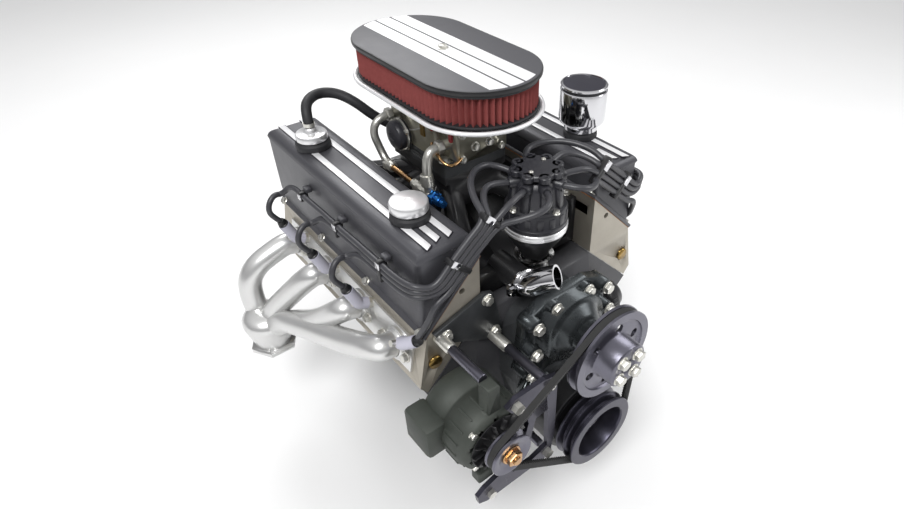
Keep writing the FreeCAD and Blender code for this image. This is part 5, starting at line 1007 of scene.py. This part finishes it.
def carburettor():
    """Dark foot under a yellowish body, with the choke's cap, screws, clips, a rod and a pipe."""
    piece(slice_of("carburetor_body", 300, FOOT_TOP), "carburettor_foot", dark_cast, "carburetor_body")
    piece(slice_of("carburetor_body", FOOT_TOP, 600), "carburettor_upper", carb_metal, "carburetor_body")
    finished_copy("fuel_bowls", carb_metal)
    outward = (-1, 0, 0)
    choke = [(0, 0), (19, 0), (23, 1), (25, 3), (25, 6), (23.4, 7), (23.4, 9), (24, 10), (24, 17), (22, 21),
             (17, 23.4), (7, 24), (6, 23), (0, 23)]
    choke_place = at(-63.2, AIR_CENTRE + 32, 402)
    piece(turned(choke, choke_place, outward, 64), "choke_cap", moulded_black, "choke_housing")
    ring = [(22.6, 6.6), (26.4, 6.6), (26.8, 7.4), (26.4, 9.4), (22.6, 9.4)]
    screws = [bolt(at(-71, AIR_CENTRE + 32 + y, 402 + z), outward, 7, 4)
              for _, y, z in round_about(3, 30, 25)]
    fitted([spun(ring, choke_place, outward, 64)] + screws, "choke_ring", zinc, "choke_housing")
    small = []
    for sign in (-1, 1):
        face_d = AIR_CENTRE + sign * 92.4
        small += [bolt(at(x, face_d, z), (0, sign, 0), 9, 5) for x in (-38, 38) for z in (397, 437)]
        small += [bolt(at(x, face_d, 412), (0, sign, 0), 11, 6) for x in (-14, 14)]
    small += [bolt(at(x, AIR_CENTRE + y, FOOT_TOP + 0.2), UP, 13, 7) for x in (-54, 54) for y in (-66, 66)]
    fitted(small, "carburettor_screws", zinc, "carburetor_body")
    fitted([block(at(x, AIR_CENTRE + y, z), (5, 7, 14), width=1.6) for x, y, z in
            ((-56, -40, 438), (-54, -86, 436), (55, -48, 440), (52, 40, 436))], "red_clips", red_plastic,
           "carburetor_body")
    for name, made_of, radius, points in (
            ("choke_rod", zinc, 1.4, ((-62, -20, 430), (-66, -4, 420), (-64, 16, 414))),
            ("vacuum_pipe", yellow_zinc, 2.6,
             ((-40, -92, 400), (-62, -104, 396), (-76, -84, 404), (-66, -52, 418)))):
        route = [at(x, AIR_CENTRE + y, z) for x, y, z in points]
        cord(name, route, radius, made_of, "carburetor_body", replaces=False)


def castings():
    """The remaining castings with merged skins, and the bolts that hold them."""
    for node, made_of in CASTINGS.items():
        finished_copy(node, made_of)
    fitted([bolt(at(side * 110, 62 + 120 * index, 316.2), UP, 13, 8) for side in (1, -1)
            for index in range(4)], "intake_bolts", zinc, "intake_manifold")
    outline = [(-208, 240), (-190, 212), (-97, 162), (-82, 180), (-100, 262), (-115, 268)]
    plate = bevelled(prism(outline, -8, 0), 1.2)
    screws = [bolt(at(x, -8, z), FORWARD, 14, 8) for x, z in ((-188, 228), (-112, 254), (-98, 182))]
    fitted(plate, "head_front_plate", dark_cast, "cylinder_head_right")
    fitted(screws, "head_plate_screws", zinc, "cylinder_head_right")


# ---------------------------------------------------------------- room, light and camera
def camera():
    """A camera on the passenger side, ahead and above."""
    azimuth, elevation, roll = math.radians(-40.8745), math.radians(39.8436), math.radians(0.8165)
    back = Vector((math.sin(azimuth) * math.cos(elevation), -math.cos(azimuth) * math.cos(elevation),
                   math.sin(elevation)))
    right = (-back).cross(Vector(UP)).normalized()
    up = right.cross(-back)
    right, up = (right * math.cos(roll) + up * math.sin(roll), up * math.cos(roll) - right * math.sin(roll))
    data = bpy.data.cameras.new("camera")
    data.sensor_width = 36
    data.lens = 24.386
    data.shift_x = -0.0681
    data.shift_y = 0.0209
    obj = bpy.data.objects.new("camera", data)
    turn = Matrix((right, up, back)).transposed().to_4x4()
    obj.matrix_world = Matrix.Translation((-0.5226, -1.0276, 0.8665)) @ turn
    bpy.context.scene.collection.objects.link(obj)
    bpy.context.scene.camera = obj


def lamp(name, place, target, size, power):
    """A round soft lamp turned to a target."""
    data = bpy.data.lights.new(name, "AREA")
    data.shape = "DISK"
    data.size = size
    data.energy = power
    obj = bpy.data.objects.new(name, data)
    toward = Vector(target) - Vector(place)
    obj.matrix_world = turned_to(-toward, Vector(place))
    bpy.context.scene.collection.objects.link(obj)


def room():
    """Pale floor under the sump, soft lamps, and a world white to the eye and graded in reflections."""
    floor = finish("pale_floor", "#f2f2f2", 0.0, 0.7, (400, "#eeeeee"))
    bm = bmesh.new()
    bmesh.ops.create_grid(bm, x_segments=1, y_segments=1, size=6.0)
    bmesh.ops.translate(bm, vec=(0, 0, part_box("oil_pan")[0].z - 0.0005), verts=bm.verts)
    plane = to_object(bm, "floor")
    plane.data.materials.append(floor)
    world = bpy.data.worlds.new("studio")
    world.use_nodes = True
    bpy.context.scene.world = world
    tree = world.node_tree
    tree.nodes.clear()
    direction = add(tree, "ShaderNodeTexCoord").outputs["Generated"]
    height = add(tree, "ShaderNodeSeparateXYZ", None, {0: direction}).outputs["Z"]
    ramp = add(tree, "ShaderNodeValToRGB", None, {0: height})
    ramp.color_ramp.elements[0].position = 0.0
    ramp.color_ramp.elements[0].color = (0.16, 0.16, 0.17, 1)
    ramp.color_ramp.elements[1].position = 0.75
    ramp.color_ramp.elements[1].color = (1, 1, 1, 1)
    middle = ramp.color_ramp.elements.new(0.28)
    middle.color = (0.42, 0.42, 0.43, 1)
    soft = add(tree, "ShaderNodeBackground", {"Strength": 0.75}, {"Color": ramp.outputs["Color"]})
    white = add(tree, "ShaderNodeBackground", {"Color": (1, 1, 1, 1), "Strength": 1.0})
    seen = add(tree, "ShaderNodeLightPath").outputs["Is Camera Ray"]
    mixed = add(tree, "ShaderNodeMixShader", None, {0: seen, 1: soft.outputs[0], 2: white.outputs[0]})
    add(tree, "ShaderNodeOutputWorld", None, {"Surface": mixed.outputs[0]})
    lamp("key", (-1.6, -1.4, 2.6), (0, -0.3, 0.2), 1.4, 62)
    lamp("fill", (2.0, -1.8, 1.6), (0, -0.4, 0.1), 1.6, 26)
    lamp("back", (0.6, 1.8, 2.2), (0, -0.2, 0.2), 1.6, 34)


for node, obj in frame["nodes"].items():
    obj.data.materials.clear()
    obj.data.materials.append(NODE_FINISH.get(node, steel))

camera()
room()
air_cleaner_lid()
air_filter()
air_cleaner_base()
valve_covers()
cover_fittings()
pcv_hose()
distributor()
plug_wires()
wire_separators()
crank_pulley()
water_pump()
alternator_pulley()
drive_belt()
alternator()
headers()
fuel_system()
carburettor()
castings()

bpy.context.scene.view_settings.view_transform = "Standard"
